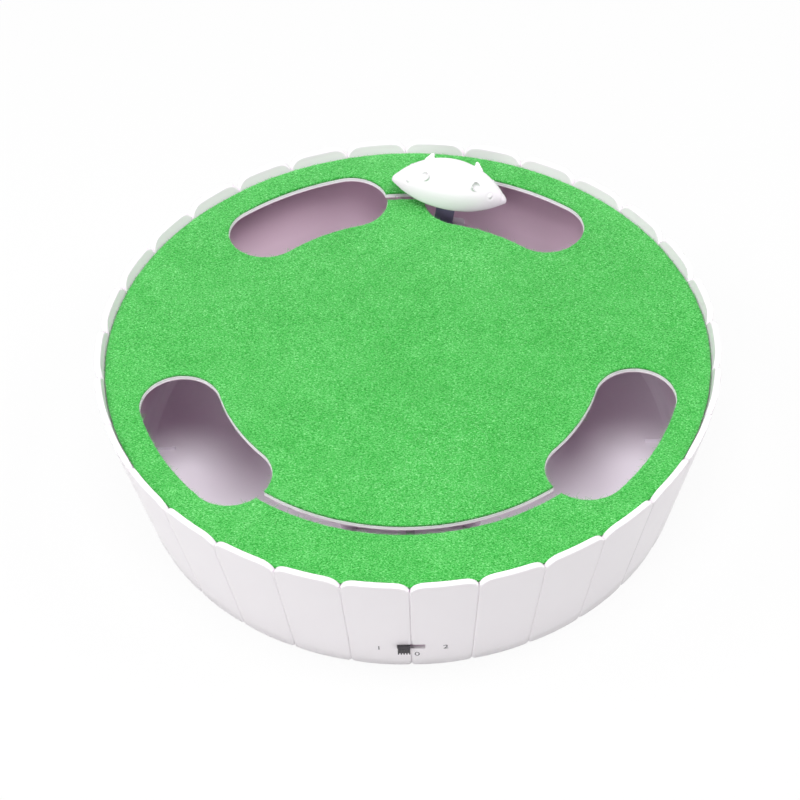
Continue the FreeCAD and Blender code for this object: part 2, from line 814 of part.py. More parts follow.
def cheek(x0, x1, low):
    """One side of the clevis, rounded over the arm's pin."""
    front = pivot_radius + eye_radius
    lean = math.sqrt(0.5) * eye_radius
    top = Vector(x0, pivot_radius, arm_z + eye_radius)
    nose = Part.Arc(Vector(x0, front, arm_z), Vector(x0, pivot_radius + lean, arm_z + lean), top).toShape()
    points = [top, Vector(x0, -2, arm_z + eye_radius), Vector(x0, -2, low), Vector(x0, hub_flange - 1, low)]
    points += [Vector(x0, front, (low + arm_z) / 2), Vector(x0, front, arm_z)]
    return Part.Face(Part.Wire([nose] + Part.makePolygon(points).Edges)).extrude(Vector(x1 - x0, 0, 0))


def arm_pin():
    reach = arm_width / 2 + cheek_gap + cheek_thickness
    pin = rod(pin_radius, Vector(-reach, pivot_radius, arm_z), Vector(reach, pivot_radius, arm_z))
    head = rod(2 * pin_radius, Vector(reach, pivot_radius, arm_z), Vector(reach + 1, pivot_radius, arm_z))
    return turned(pin.fuse(head).removeSplitter(), rest_azimuth)


def shaft_clip():
    clip = tube(clip_radius, shaft_radius, hub_top + 0.2, hub_top + 0.2 + clip_thickness)
    return clip.cut(block(-1.2, 1.2, 0, clip_radius + 1, hub_top, hub_top + 2)).removeSplitter()


def arm_profile():
    """Side view of the web: deep at the hub, shallow at the crosshead."""
    low = arm_z - arm_height / 2
    high = arm_z + arm_height / 2
    end = track_radius - crosshead_depth / 2 + 0.5
    points = [(pivot_radius, low - 1), (roller_ring + 6, low), (end, tilt_z - crosshead_height / 2)]
    points += [(end, high - 1), (pivot_radius, high - 0.5)]
    return polygon_face([Vector(-arm_web / 2, y, z) for y, z in points]).extrude(Vector(arm_web, 0, 0))


def tilt_slot_half():
    """Half width of the crosshead's slot, where the tilted post comes to its stop."""
    lean = math.radians(rest_tilt)
    return post_width / 2 / math.cos(lean) + crosshead_height / 2 * math.tan(lean) + 0.06


def mouse_arm():
    high = arm_z + arm_height / 2
    front = track_radius - crosshead_depth / 2
    back = track_radius + crosshead_depth / 2
    half = crosshead_width / 2
    flange = block(-arm_width / 2, arm_width / 2, pivot_radius, front - 2, high - arm_flange, high)
    eye = rod(eye_radius, Vector(-arm_width / 2, pivot_radius, arm_z), Vector(arm_width / 2, pivot_radius, arm_z))
    flange = flange.cut(disc(hub_radius, 0, 100))
    cross = block(-half, half, front, back, tilt_z - crosshead_height / 2, tilt_z + crosshead_height / 2)
    corners = [e for e in cross.Edges if abs(e.Vertexes[0].Z - e.Vertexes[1].Z) > 1]
    cross = cross.makeFillet(2.0, corners)
    neck = block(-arm_width / 2, arm_width / 2, front - 3, front + 1, tilt_z - crosshead_height / 2, high)
    roller_z = cam_high + roller_radius
    forks = []
    for side in (-1, 1):
        y0, y1 = sorted((side * (roller_width / 2 + roller_gap), side * (roller_width / 2 + roller_gap + fork_thickness)))
        leg = block(-3, 3, roller_ring + y0, roller_ring + y1, roller_z, high - 1)
        toe = rod(3.0, Vector(0, roller_ring + y0, roller_z), Vector(0, roller_ring + y1, roller_z))
        forks.append(leg.fuse(toe))
    body = eye.fuse([arm_profile(), flange, cross, neck] + forks)
    slot = tilt_slot_half()
    lip = post_thickness / 2 + post_gap
    cutters = [rod(pin_radius + axle_play, Vector(-arm_width, pivot_radius, arm_z), Vector(arm_width, pivot_radius, arm_z))]
    cutters.append(block(-slot, slot, track_radius - lip, track_radius + lip, 0, 100))
    cutters.append(rod(pin_radius - 0.1, Vector(0, front - 0.5, tilt_z), Vector(0, back + 1, tilt_z)))
    gap = roller_width / 2 + roller_gap
    cutters.append(block(-4.2, 4.2, roller_ring - gap, roller_ring + gap, 0, roller_z + roller_radius + 0.4))
    fork_reach = gap + fork_thickness
    cutters.append(rod(pin_radius, Vector(0, roller_ring - fork_reach, roller_z), Vector(0, roller_ring + fork_reach, roller_z)))
    return turned(body.cut(cutters), rest_azimuth)


def follower_roller():
    z = cam_high + roller_radius
    half = roller_width / 2
    tyre = rod(roller_radius - 0.1, Vector(0, roller_ring - half, z), Vector(0, roller_ring + half, z))
    bore = rod(pin_radius + axle_play, Vector(0, roller_ring - half - 1, z), Vector(0, roller_ring + half + 1, z))
    return turned(tyre.cut(bore), rest_azimuth)


def roller_pin():
    z = cam_high + roller_radius
    reach = roller_width / 2 + roller_gap + fork_thickness
    return turned(rod(pin_radius, Vector(0, roller_ring - reach, z), Vector(0, roller_ring + reach, z)), rest_azimuth)


def tilt_pin():
    front = track_radius - crosshead_depth / 2
    back = track_radius + crosshead_depth / 2
    return turned(rod(pin_radius - 0.1, Vector(0, front - 0.5, tilt_z), Vector(0, back, tilt_z)), rest_azimuth)


# The mouse and its post are modelled upright and tipped about the tilt pin

def tipped(shape):
    """Tip the upright mouse nose down towards greater azimuth, then turn it to rest."""
    leaning = shape.rotated(Vector(0, track_radius, tilt_z), Vector(0, 1, 0), rest_tilt)
    return turned(leaning, rest_azimuth)


def mouse_post():
    half = post_width / 2
    front = track_radius - post_thickness / 2
    foot = rod(half, Vector(0, front, tilt_z), Vector(0, front + post_thickness, tilt_z))
    blade = block(-half, half, front, front + post_thickness, tilt_z, mouse_z + socket_depth - 1)
    body = foot.fuse(blade)
    hole = rod(pin_radius - 0.1 + axle_play, Vector(0, front - 1, tilt_z), Vector(0, front + post_thickness + 1, tilt_z))
    pin = rod(0.8, Vector(0, front - 1, pin_height()), Vector(0, front + post_thickness + 1, pin_height()))
    return tipped(body.cut([hole, pin]).removeSplitter())


def pin_height():
    return mouse_z + socket_depth / 2


def post_pin():
    reach = post_thickness / 2 + socket_wall
    return tipped(rod(0.8, Vector(0, track_radius - reach, pin_height()), Vector(0, track_radius + reach, pin_height())))


def mouse_outline():
    """Half of the mouse's pointed oval seen from above: a long back arc and two noses."""
    half_length = mouse_length / 2
    half_width = mouse_width / 2
    nose = nose_radius
    c = half_length - nose
    r = (c * c + half_width * half_width - nose * nose) / (2 * half_width - 2 * nose)
    drop = r - half_width
    meet_x = r * c / (r - nose)
    meet_y = r * drop / (r - nose) - drop
    slant = math.atan2(drop, c) / 2
    lip_x = c + nose * math.cos(slant)
    lip_y = nose * math.sin(slant)
    back = Part.Arc(Vector(-meet_x, meet_y, 0), Vector(0, half_width, 0), Vector(meet_x, meet_y, 0)).toShape()
    right = Part.Arc(Vector(meet_x, meet_y, 0), Vector(lip_x, lip_y, 0), Vector(half_length, 0, 0)).toShape()
    left = Part.Arc(Vector(-half_length, 0, 0), Vector(-lip_x, lip_y, 0), Vector(-meet_x, meet_y, 0)).toShape()
    axis = Part.LineSegment(Vector(half_length, 0, 0), Vector(-half_length, 0, 0)).toShape()
    return Part.Face(Part.Wire([left, back, right, axis]))


def mouse_body(height):
    """The outline turned about its length, then stretched to a height over its middle plane."""
    lemon = mouse_outline().revolve(Vector(0, 0, 0), Vector(1, 0, 0), 360)
    squeeze = FreeCAD.Matrix()
    squeeze.scale(1, 1, 2 * height / mouse_width)
    lemon = lemon.transformGeometry(squeeze)
    lemon.translate(Vector(0, track_radius, mouse_z))
    return lemon


def above(z):
    return block(-40, 40, track_radius - 30, track_radius + 30, z, z + 60)


def mouse_shell():
    skin = mouse_body(mouse_height).common(above(mouse_z))
    ears = [mouse_ear(sx, sy) for sx in (-1, 1) for sy in (-1, 1)]
    socket_x = post_width / 2 + socket_wall + 0.05
    socket_y = post_thickness / 2 + socket_wall + 0.05
    socket_room = block(-socket_x, socket_x, track_radius - socket_y, track_radius + socket_y, mouse_z - 1, mouse_z + socket_depth + 0.1)
    cutters = [socket_room]
    for sx in (-1, 1):
        pilot = mouse_screw_radius + screw_play
        cutters.append(disc(pilot, mouse_z - 1, mouse_z + mouse_pilot_depth, sx * mouse_screw_x, track_radius))
    return tipped(skin.fuse(ears).cut(cutters))


def body_height(x, y):
    """Height of the mouse's skin over its middle plane at a place on its back."""
    half_length = mouse_length / 2
    half_width = mouse_width / 2
    c = half_length - nose_radius
    r = (c * c + half_width * half_width - nose_radius * nose_radius) / (2 * half_width - 2 * nose_radius)
    reach = math.sqrt(r * r - x * x) - (r - half_width)
    return mouse_height / half_width * math.sqrt(reach * reach - y * y)


def mouse_ear(sx, sy):
    z = mouse_z + body_height(ear_x, ear_y) + mouse_ear_radius * 0.45
    middle = Vector(sx * ear_x, track_radius + sy * ear_y, z)
    side = Vector(0, math.cos(math.radians(ear_lean)) * sy, math.sin(math.radians(ear_lean)))
    return rod(mouse_ear_radius, middle - side * (mouse_ear_thickness / 2), middle + side * (mouse_ear_thickness / 2))


def mouse_base():
    half = mouse_outline()
    bowl = half.fuse(half.mirror(Vector(0, 0, 0), Vector(0, 1, 0))).removeSplitter().extrude(Vector(0, 0, -belly_depth))
    bowl.translate(Vector(0, track_radius, mouse_z))
    for sx in (-1, 1):
        points = [Vector(sx * belly_flat, 0, mouse_z - belly_depth), Vector(sx * mouse_length / 2, 0, mouse_z - belly_lip)]
        points.append(Vector(sx * (mouse_length / 2 + 1), 0, mouse_z - belly_depth - 1))
        bowl = bowl.cut(polygon_face(points + [Vector(sx * belly_flat, 0, mouse_z - belly_depth - 1)]).extrude(Vector(0, 200, 0)))
    half_x = post_width / 2 + socket_wall
    half_y = post_thickness / 2 + socket_wall
    socket = block(-half_x, half_x, track_radius - half_y, track_radius + half_y, mouse_z - 0.5, mouse_z + socket_depth)
    body = bowl.fuse(socket)
    px = post_width / 2 + 0.02
    py = post_thickness / 2 + 0.02
    cutters = [block(-px, px, track_radius - py, track_radius + py, mouse_z - belly_depth - 1, mouse_z + socket_depth - 1)]
    cutters.append(rod(0.8, Vector(0, track_radius - half_y - 1, pin_height()), Vector(0, track_radius + half_y + 1, pin_height())))
    for sx in (-1, 1):
        under = mouse_z - belly_depth - 1
        x = sx * mouse_screw_x
        cutters.append(disc(mouse_screw_radius + screw_play, under, mouse_z + 1, x, track_radius))
        cutters.append(disc(mouse_screw_head + 0.1, under, mouse_z - mouse_screw_seat, x, track_radius))
    return tipped(body.cut(cutters))


def mouse_screws():
    screws = []
    for sx in (-1, 1):
        seat = Vector(sx * mouse_screw_x, track_radius, mouse_z - mouse_screw_seat)
        head = disc(mouse_screw_head, seat.z - mouse_screw_head_height, seat.z, seat.x, seat.y)
        tip = seat + Vector(0, 0, mouse_screw_seat + mouse_screw_bite)
        screws.append(head.fuse(shank(mouse_screw_radius, seat, tip)))
    return tipped(group(screws))


# Speed switch behind the front wall

def switch_body():
    half = switch_case_length / 2
    low = switch_z - switch_case_height / 2
    high = switch_z + switch_case_height / 2
    case = block(-half, half, -switch_face, -switch_face + switch_case_depth, low, high)
    ears = block(-half - switch_ear, half + switch_ear, -switch_face, -switch_face + switch_ear_thickness, low, high)
    pins = [rod(0.5, Vector(x, -switch_face + switch_case_depth - 1, switch_z),
                Vector(x, -switch_face + switch_case_depth + 2, switch_z)) for x in (-5, 0, 5)]
    body = case.fuse([ears] + pins)
    stem = (knob_length + switch_travel) / 2 + 0.2
    rise = knob_height / 2 + 0.1
    cutters = [block(-stem, stem, -switch_face - 1, -switch_face + 2.6, switch_z - rise, switch_z + rise)]
    for side in (-1, 1):
        x = side * (half + switch_ear / 2)
        cutters.append(rod(small_screw_radius + screw_play, Vector(x, -switch_face - 1, switch_z), Vector(x, -switch_face + 3, switch_z)))
    return body.cut(cutters).removeSplitter()


def switch_screws():
    screws = []
    for side in (-1, 1):
        x = side * (switch_case_length / 2 + switch_ear / 2)
        y = -switch_face + switch_ear_thickness
        head = rod(small_screw_head, Vector(x, y, switch_z), Vector(x, y + screw_head_height, switch_z))
        screws.append(head.fuse(shank(small_screw_radius, Vector(x, y, switch_z), Vector(x, -switch_face - 1.5, switch_z))))
    return group(screws)


def switch_knob():
    """Ribbed thumb piece, at rest against the left end of the slot."""
    left = -(knob_length + switch_travel) / 2
    low = switch_z - knob_height / 2
    high = switch_z + knob_height / 2
    tip = outer_radius(switch_z) + knob_proud
    body = block(left, left + knob_length, -tip, -switch_face + 2.4, low, high)
    pitch = knob_length / (knob_ribs + 0.5)
    cutters = []
    for k in range(knob_ribs):
        x = left + pitch * (k + 0.5)
        cutters.append(block(x, x + pitch / 2, -tip - 1, -tip + 0.6, low - 1, high + 1))
    return body.cut(cutters)


def lead_z():
    return floor_top + lead_thickness / 2 + 0.05


def switch_lead():
    """Flat lead from the switch down to the floor and in through the housing wall."""
    y0 = -switch_face + switch_case_depth + 1.2
    low = lead_z() - lead_thickness / 2
    high = low + lead_thickness
    knee = y0 + lead_thickness
    r = lead_bend
    lean = r * (1 - math.sqrt(0.5))
    top = switch_z - 1.5
    inner_r = r - lead_thickness
    turn = knee + inner_r
    outer = Part.Arc(Vector(0, y0, low + r), Vector(0, y0 + lean, low + lean), Vector(0, y0 + r, low)).toShape()
    tuck = inner_r * (1 - math.sqrt(0.5))
    inner = Part.Arc(Vector(0, turn, high), Vector(0, knee + tuck, high + tuck), Vector(0, knee, high + inner_r)).toShape()
    floor_run = Part.makePolygon([Vector(0, y0 + r, low), Vector(0, -housing_bore, low), Vector(0, -housing_bore, high), Vector(0, turn, high)])
    drop = Part.makePolygon([Vector(0, knee, high + inner_r), Vector(0, knee, top), Vector(0, y0, top), Vector(0, y0, low + r)])
    outline = Part.Wire([outer] + floor_run.Edges + [inner] + drop.Edges)
    ribbon = Part.Face(outline).extrude(Vector(lead_width, 0, 0))
    ribbon.translate(Vector(-lead_width / 2, 0, 0))
    return ribbon


# Control board on edge beside the battery box

def control_board():
    half = board_edge / 2 - 0.05
    low = board_low_z()
    return block(-board_x - half, -board_x + half, -board_length / 2 + 0.1, board_length / 2 - 0.1, low, low + board_height)


def board_parts():
    x = -board_x - board_edge / 2 + 0.05
    z = board_low_z() + board_height / 2
    chip = block(x - chip_height, x, -chip_length / 2, chip_length / 2, z - chip_width / 2, z + chip_width / 2)
    capacitor = rod(capacitor_radius, Vector(x - capacitor_height, capacitor_y, z), Vector(x, capacitor_y, z))
    near = driver_y - driver_length / 2
    driver = block(x - driver_height, x, near, near + driver_length, z - driver_width / 2, z + driver_width / 2)
    return group([chip, capacitor, driver])


pieces = [fence_tub, play_deck, felt_mat, deck_screws, rubber_feet, battery_box, battery_door, door_screws,
          aa_cells, battery_contacts, drive_housing, housing_screws, gearbox_base, gearbox_cover,
          gearbox_screws, gear_axles, motor, motor_shaft, motor_pinion, first_gear, second_gear, output_gear,
          main_shaft, shaft_clip, rotor_hub, arm_pin, mouse_arm, roller_pin, follower_roller, tilt_pin,
          mouse_post, post_pin, mouse_base, mouse_shell, mouse_screws, switch_body, switch_screws,
          switch_knob, switch_lead, control_board, board_parts]

for piece in pieces:
    save(piece.__name__, piece())
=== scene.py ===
import math
import random
from collections import namedtuple
import bmesh
import bpy
from mathutils import Matrix, Vector
from mathutils.geometry import delaunay_2d_cdt


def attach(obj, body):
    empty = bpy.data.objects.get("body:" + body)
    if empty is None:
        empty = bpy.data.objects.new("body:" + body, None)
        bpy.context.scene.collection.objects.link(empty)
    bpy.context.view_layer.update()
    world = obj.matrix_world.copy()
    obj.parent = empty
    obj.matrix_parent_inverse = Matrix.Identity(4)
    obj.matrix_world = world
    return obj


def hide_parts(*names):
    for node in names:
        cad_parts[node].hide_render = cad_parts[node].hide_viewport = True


# Dresses the rotating mouse cat teaser. Lengths are in millimetres until a mesh is
# made, which turns them to metres. Azimuths run clockwise from the back (+Y).

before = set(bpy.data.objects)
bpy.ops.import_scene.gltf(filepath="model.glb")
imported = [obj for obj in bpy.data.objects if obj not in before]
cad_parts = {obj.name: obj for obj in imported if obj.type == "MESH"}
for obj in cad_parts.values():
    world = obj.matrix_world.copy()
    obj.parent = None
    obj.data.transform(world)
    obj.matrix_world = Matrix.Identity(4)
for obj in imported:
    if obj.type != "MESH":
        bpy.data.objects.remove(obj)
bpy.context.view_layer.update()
MM = 0.001

# Sizes shared with the solids. A name in HALF is half a width, one in X a span from left to
# right. The fence tub's wall leans out from its foot at RIM_Z to its pickets' tips:
TOP_RADIUS = 125.0
RIM_RADIUS = 111.5
RIM_Z = 1.0
TIPS_Z = 65.0
WALL = 2.5
PICKETS = 30
CORNER = 6.0
FOOT_INNER = 109.0

# Its floor, with the battery door's opening, the door's tabs, and the lawn's screw posts
FLOOR_LOW = 2.5
FLOOR_TOP = 4.7
FLOOR_RADIUS = 106.0
FLOOR_FILLET = 4.0
FILLET_TOP = FLOOR_TOP + FLOOR_FILLET
BAY_X = (-26.8, 18.2)
BAY_HALF = 29.0
TAB_X = (-9.5, 0.9)
TAB_HALF = 38.2
TAB_RECESS = 1.2
POST_RING = 104.0
POST_AZIMUTHS = (0.0, 150.0, 210.0)
POST_TOP = 20.0
WELL_RADIUS = 2.85
WELL_TOP = 17.6
LEDGES = 6
LEDGE_HEIGHT = 10

# The switch's window in the wall
SWITCH_Z = 16.7
WINDOW_LENGTH = 10.7
WINDOW_HEIGHT = 3.4

# The lawn's felt and board. A burrow's two ends are azimuths from the back or the front.
FELT_TOP = 60.5
FELT_LOW = 59.2
FELT_RADIUS = 121.1
BOARD_LOW = 57.6
TRACK = 93.5
BURROW_HALF = 15.9
SLOT_HALF = 2.1
BACK_ENDS = (14.8, 39.0)
FRONT_ENDS = (46.8, 73.4)

# The mouse, and how it rests: where on the track, and tipped about its pivot. S runs along
# the mouse from its middle.
REST_AZIMUTH = 9.5
REST_TILT = 8.2
TILT_Z = 43.6
MOUSE_Z = 64.6
MOUSE_LENGTH = 49.8
MOUSE_WIDTH = 23.0
MOUSE_HEIGHT = 15.0
EAR_S = 11.4
EAR_ACROSS = 5.8
EYE_S = 17.7
EYE_ACROSS = 4.9

# Finer forms of the picket wall
PICKET_HALF = math.pi * TOP_RADIUS / PICKETS
GROOVE_HALF = 0.55
GROOVE_DEPTH = 0.6
PILLOW = 0.22
NICK = 1.2
NICK_SLOPE = 0.9
EDGE_OUT = 0.8
EDGE_IN = 0.6
FOOT_EDGE = 0.5
WALL_MIDDLE = 1.2

# Half outline of a screw post, radius and height, from its flared foot to its bore
POST_PROFILE = (
    (7.5, FLOOR_TOP),
    (5.6, FLOOR_TOP + 0.5),
    (5.0, FLOOR_TOP + 1.6),
    (5.0, POST_TOP - 0.4),
    (4.7, POST_TOP),
    (1.6, POST_TOP),
)

# The felt's cut edge from its underside up: how far it stands in from the cut, and its height
FELT_EDGE = (
    (0.3, FELT_LOW),
    (0.14, FELT_LOW + 0.45),
    (0.16, FELT_TOP - 0.4),
    (0.26, FELT_TOP - 0.14),
    (0.5, FELT_TOP - 0.02),
    (0.95, FELT_TOP),
)
LYING_FIBRES = 15000

# Finer forms of the mouse
BACK_RISE = MOUSE_HEIGHT / (MOUSE_WIDTH / 2)
NOSE_RADIUS = 2.2
BELLY_DEPTH = 1.75
BELLY_RISE = 1.6
BELLY_FLAT = 10.5
BELLY_SLOPE = 12
PARTING_Z = -0.55
MOUSE_VOXEL = 0.32
EAR_WIDE = 1.95
EAR_TALL = 2.6
EAR_SEAT = 1.25
EYE_RADIUS = 1.0
EYE_PROUD = 0.36
EYE_RING = 1.35
EYE_RING_DEPTH = 0.13
NOSE_CREASE = 22.7
NOSE_CREASE_DEPTH = 0.1
CREASE_WIDTH = 0.4

# Where the copper band of the cells' film begins
CELL_BAND_Y = 12.5

# Numbers beside the switch: text, place along the wall and height over its foot
NUMBERS = (("1", -12.4, 14.3), ("0", 2.2, 9.5), ("2", 13.2, 14.3))
NUMBER_SIZE = 4.4
PRINT_PROUD = 0.03


def outer_radius(z):
    return RIM_RADIUS + (TOP_RADIUS - RIM_RADIUS) * (z - RIM_Z) / (TIPS_Z - RIM_Z)


def at(azimuth, radius, z=0.0):
    a = math.radians(azimuth)
    return Vector((radius * math.sin(a), radius * math.cos(a), z))


# Meshes

def placed(name, data):
    """A new object in the scene."""
    thing = bpy.data.objects.new(name, data)
    bpy.context.scene.collection.objects.link(thing)
    return thing


def piece(name, points, faces, smooth=True):
    """A new mesh object from points in millimetres."""
    mesh = bpy.data.meshes.new(name)
    mesh.from_pydata([tuple(MM * c for c in p) for p in points], [], faces)
    mesh.validate()
    mesh.update()
    if smooth:
        mesh.shade_smooth()
    return placed(name, mesh)


def modify(thing, kind, **settings):
    """Adds a modifier and applies it to the mesh at once."""
    step = thing.modifiers.new(kind.title(), kind)
    for name, value in settings.items():
        setattr(step, name, value)
    depsgraph = bpy.context.evaluated_depsgraph_get()
    shaped = bpy.data.meshes.new_from_object(thing.evaluated_get(depsgraph))
    thing.modifiers.clear()
    old = thing.data
    thing.data = shaped
    bpy.data.meshes.remove(old)
    return thing


def crease(thing, degrees):
    """Smooth shading with a sharp edge wherever two faces meet at more than an angle."""
    thing.data.shade_smooth()
    thing.data.set_sharp_from_angle(angle=math.radians(degrees))
    return thing


class Build:
    """Points and faces gathered for one mesh."""

    def __init__(self):
        self.points = []
        self.faces = []

    def row(self, points):
        start = len(self.points)
        self.points.extend(points)
        return list(range(start, start + len(points)))

    def bridge(self, low, high, closed=True):
        count = len(low) if closed else len(low) - 1
        for k in range(count):
            n = (k + 1) % len(low)
            self.faces.append((low[k], low[n], high[n], high[k]))

    def skin(self, rows):
        """Faces between each row and the next."""
        for low, high in zip(rows, rows[1:]):
            self.bridge(low, high)

    def cap(self, row):
        self.faces.append(tuple(row))

    def point(self, x, y, height):
        return self.row([(x, y, height(x, y))])[0]

    def planar(self, loops, keep, step, height, seed, flip=False):
        """Fills a flat region with triangles. Loops are rows already made; keep says where inner
        points may stand, and the region is what a seed place reaches without crossing a loop."""
        flat = []
        owner = []
        edges = []
        for loop in loops:
            first = len(flat)
            for k, index in enumerate(loop):
                flat.append(Vector(self.points[index][:2]))
                owner.append(index)
                edges.append((first + k, first + (k + 1) % len(loop)))
        count = int(TOP_RADIUS / step)
        for i in range(-count, count + 1):
            for j in range(-count, count + 1):
                x = (i + 0.5 * (j % 2)) * step
                y = j * step * TRIANGLE_ROW
                if keep(x, y, step * LOOP_CLEARANCE):
                    flat.append(Vector((x, y)))
                    owner.append(self.point(x, y, height))
        verts, lines, tris, origins, walls, _ = delaunay_2d_cdt(flat, edges, [], 0, 1e-6)
        barred = {tuple(sorted(line)) for line, sources in zip(lines, walls) if sources}
        index = []
        for vert, source in zip(verts, origins):
            index.append(owner[source[0]] if source else self.point(vert.x, vert.y, height))
        for number in reached_from(seed, verts, tris, barred):
            corners = [index[k] for k in tris[number]]
            self.faces.append(tuple(reversed(corners)) if flip else tuple(corners))

    def finish(self, name, smooth=True):
        return piece(name, self.points, self.faces, smooth)


# A planar fill's even triangles: their height over their side, and the room they leave at a loop
TRIANGLE_ROW = 0.866
LOOP_CLEARANCE = 0.45


def reached_from(seed, verts, tris, barred):
    """The triangles that a seed place reaches without crossing a barred line."""
    beside = {}
    for number, tri in enumerate(tris):
        for k in range(3):
            beside.setdefault(tuple(sorted((tri[k - 1], tri[k]))), []).append(number)
    seed = Vector(seed)

    def distance(number):
        return (sum((verts[k] for k in tris[number]), Vector((0, 0))) / 3 - seed).length

    waiting = [min(range(len(tris)), key=distance)]
    reached = set(waiting)
    while waiting:
        tri = tris[waiting.pop()]
        for k in range(3):
            line = tuple(sorted((tri[k - 1], tri[k])))
            if line not in barred:
                fresh = [t for t in beside[line] if t not in reached]
                reached.update(fresh)
                waiting += fresh
    return sorted(reached)


def ring(radius, z, count, centre):
    """One ring of a turned form round an upright line."""
    spots = [at(360 * k / count, radius, z) for k in range(count)]
    return [(p.x + centre.x, p.y + centre.y, p.z) for p in spots]


# Outline of a pair of burrow holes and the slot between them, seen from above

def arc_points(start, end, radius, step):
    count = max(2, int(abs(math.radians(end - start)) * radius / step))
    return [at(start + (end - start) * k / count, radius) for k in range(count + 1)]


def round_points(azimuth, start, end, step):
    """Part of a burrow's round end; angles run from straight outwards towards lower azimuth."""
    count = max(2, int(abs(math.radians(end - start)) * BURROW_HALF / step))
    a = math.radians(azimuth)
    out = Vector((math.sin(a), math.cos(a), 0))
    back = Vector((-math.cos(a), math.sin(a), 0))
    points = []
    for k in range(count + 1):
        t = math.radians(start + (end - start) * k / count)
        reach = TRACK + BURROW_HALF * math.cos(t)
        points.append(out * reach + back * (BURROW_HALF * math.sin(t)))
    return points


def meeting_angle(radius):
    """Where a burrow's round end meets an edge of the slot."""
    rest = radius * radius - TRACK * TRACK - BURROW_HALF * BURROW_HALF
    return math.degrees(math.acos(rest / (2 * TRACK * BURROW_HALF)))


def burrow_outline(ends, turn, step):
    """Closed outline of both burrows and their slot, turned to the back or the front."""
    near, far = ends
    outer = TRACK + SLOT_HALF
    inner = TRACK - SLOT_HALF
    up_angle = meeting_angle(outer)
    low_angle = meeting_angle(inner)
    half = round_points(near, up_angle, 0, step)[:-1]
    half += arc_points(near, far, TRACK + BURROW_HALF, step)[:-1]
    half += round_points(far, 0, -180, step)[:-1]
    half += arc_points(far, near, TRACK - BURROW_HALF, step)[:-1]
    half += round_points(near, 180, low_angle, step)
    first = half[0]
    last = half[-1]
    top = math.degrees(math.atan2(first.x, first.y))
    bottom = math.degrees(math.atan2(last.x, last.y))
    loop = arc_points(-top, top, outer, step)[1:-1] + half
    loop += arc_points(bottom, -bottom, inner, step)[1:-1]
    loop += [Vector((-p.x, p.y, 0)) for p in reversed(half)]
    spin = Matrix.Rotation(math.radians(-turn), 3, "Z")
    return [spin @ p for p in loop]


def in_burrow(x, y, ends, turn, margin):
    """Whether a place lies in the burrows and slot on one side, or within a margin of them."""
    radius = math.hypot(x, y)
    azimuth = abs((math.degrees(math.atan2(x, y)) - turn + 180) % 360 - 180)
    near, far = ends
    if abs(radius - TRACK) < SLOT_HALF + margin and azimuth < near:
        return True
    middle = min(max(azimuth, near), far)
    if middle == azimuth:
        return abs(radius - TRACK) < BURROW_HALF + margin
    here = at(azimuth, radius)
    return (here - at(middle, TRACK)).length < BURROW_HALF + margin


def on_lawn(x, y, margin):
    """Whether a place is on the felt, at least a margin from its edges."""
    if math.hypot(x, y) > FELT_RADIUS - margin:
        return False
    return not (in_burrow(x, y, BACK_ENDS, 0, margin) or in_burrow(x, y, FRONT_ENDS, 180, margin))


def inward_normals(loop, is_hole):
    """Unit normals of one edge of the felt that point into the felt."""
    area = sum(loop[k - 1].x * loop[k].y - loop[k].x * loop[k - 1].y for k in range(len(loop)))
    sign = 1.0 if (area > 0) == is_hole else -1.0
    normals = []
    for k in range(len(loop)):
        along = loop[(k + 1) % len(loop)] - loop[k - 1]
        normals.append(Vector((along.y, -along.x, 0)).normalized() * sign)
    return normals


# Fence tub: each picket's edge is followed from seam to seam, so the rounded tips,
# notches and grooves are one surface

# One column of the wall: x and z on the tips' line, the line's normal, and x lower down
Column = namedtuple("Column", "x z normal_x normal_z low_x")


def picket_columns():
    """Half a picket's columns, from the seam round the corner to its middle."""
    columns = [Column(0.0, TIPS_Z - CORNER, 0.0, 1.0, 0.0)]
    corner = ((9, 0.08), (19, 0.2), (30, 0.36), (42, 0.55), (55, 0.85), (70, 1.4), (90, 2.4))
    for degrees, low_x in corner:
        a = math.radians(degrees)
        x = CORNER - CORNER * math.cos(a)
        z = TIPS_Z - CORNER + CORNER * math.sin(a)
        columns.append(Column(x, z, -math.cos(a), math.sin(a), low_x))
    for x, low_x in ((8.2, 4.4), (10.6, 7.2), (PICKET_HALF, PICKET_HALF)):
        columns.append(Column(x, TIPS_Z, 0.0, 1.0, low_x))
    return columns


def groove(x):
    """Depth of the seam's groove at a distance from the seam: two rounded edges that meet."""
    if x >= GROOVE_HALF:
        return 0.0
    t = 1 - x / GROOVE_HALF
    return GROOVE_DEPTH * (1 - math.sqrt(max(0.0, 1 - t * t)) * 0.75 - (1 - t) * 0.25)


def pillow(x):
    return PILLOW * math.sin(0.5 * math.pi * min(1.0, x / PICKET_HALF))


def wall_point(seam, side, x, radius, z):
    """A place on the wall: x is measured along the tip circle from a seam, to one side."""
    azimuth = seam + side * math.degrees(x / TOP_RADIUS)
    return tuple(at(azimuth, radius, z))


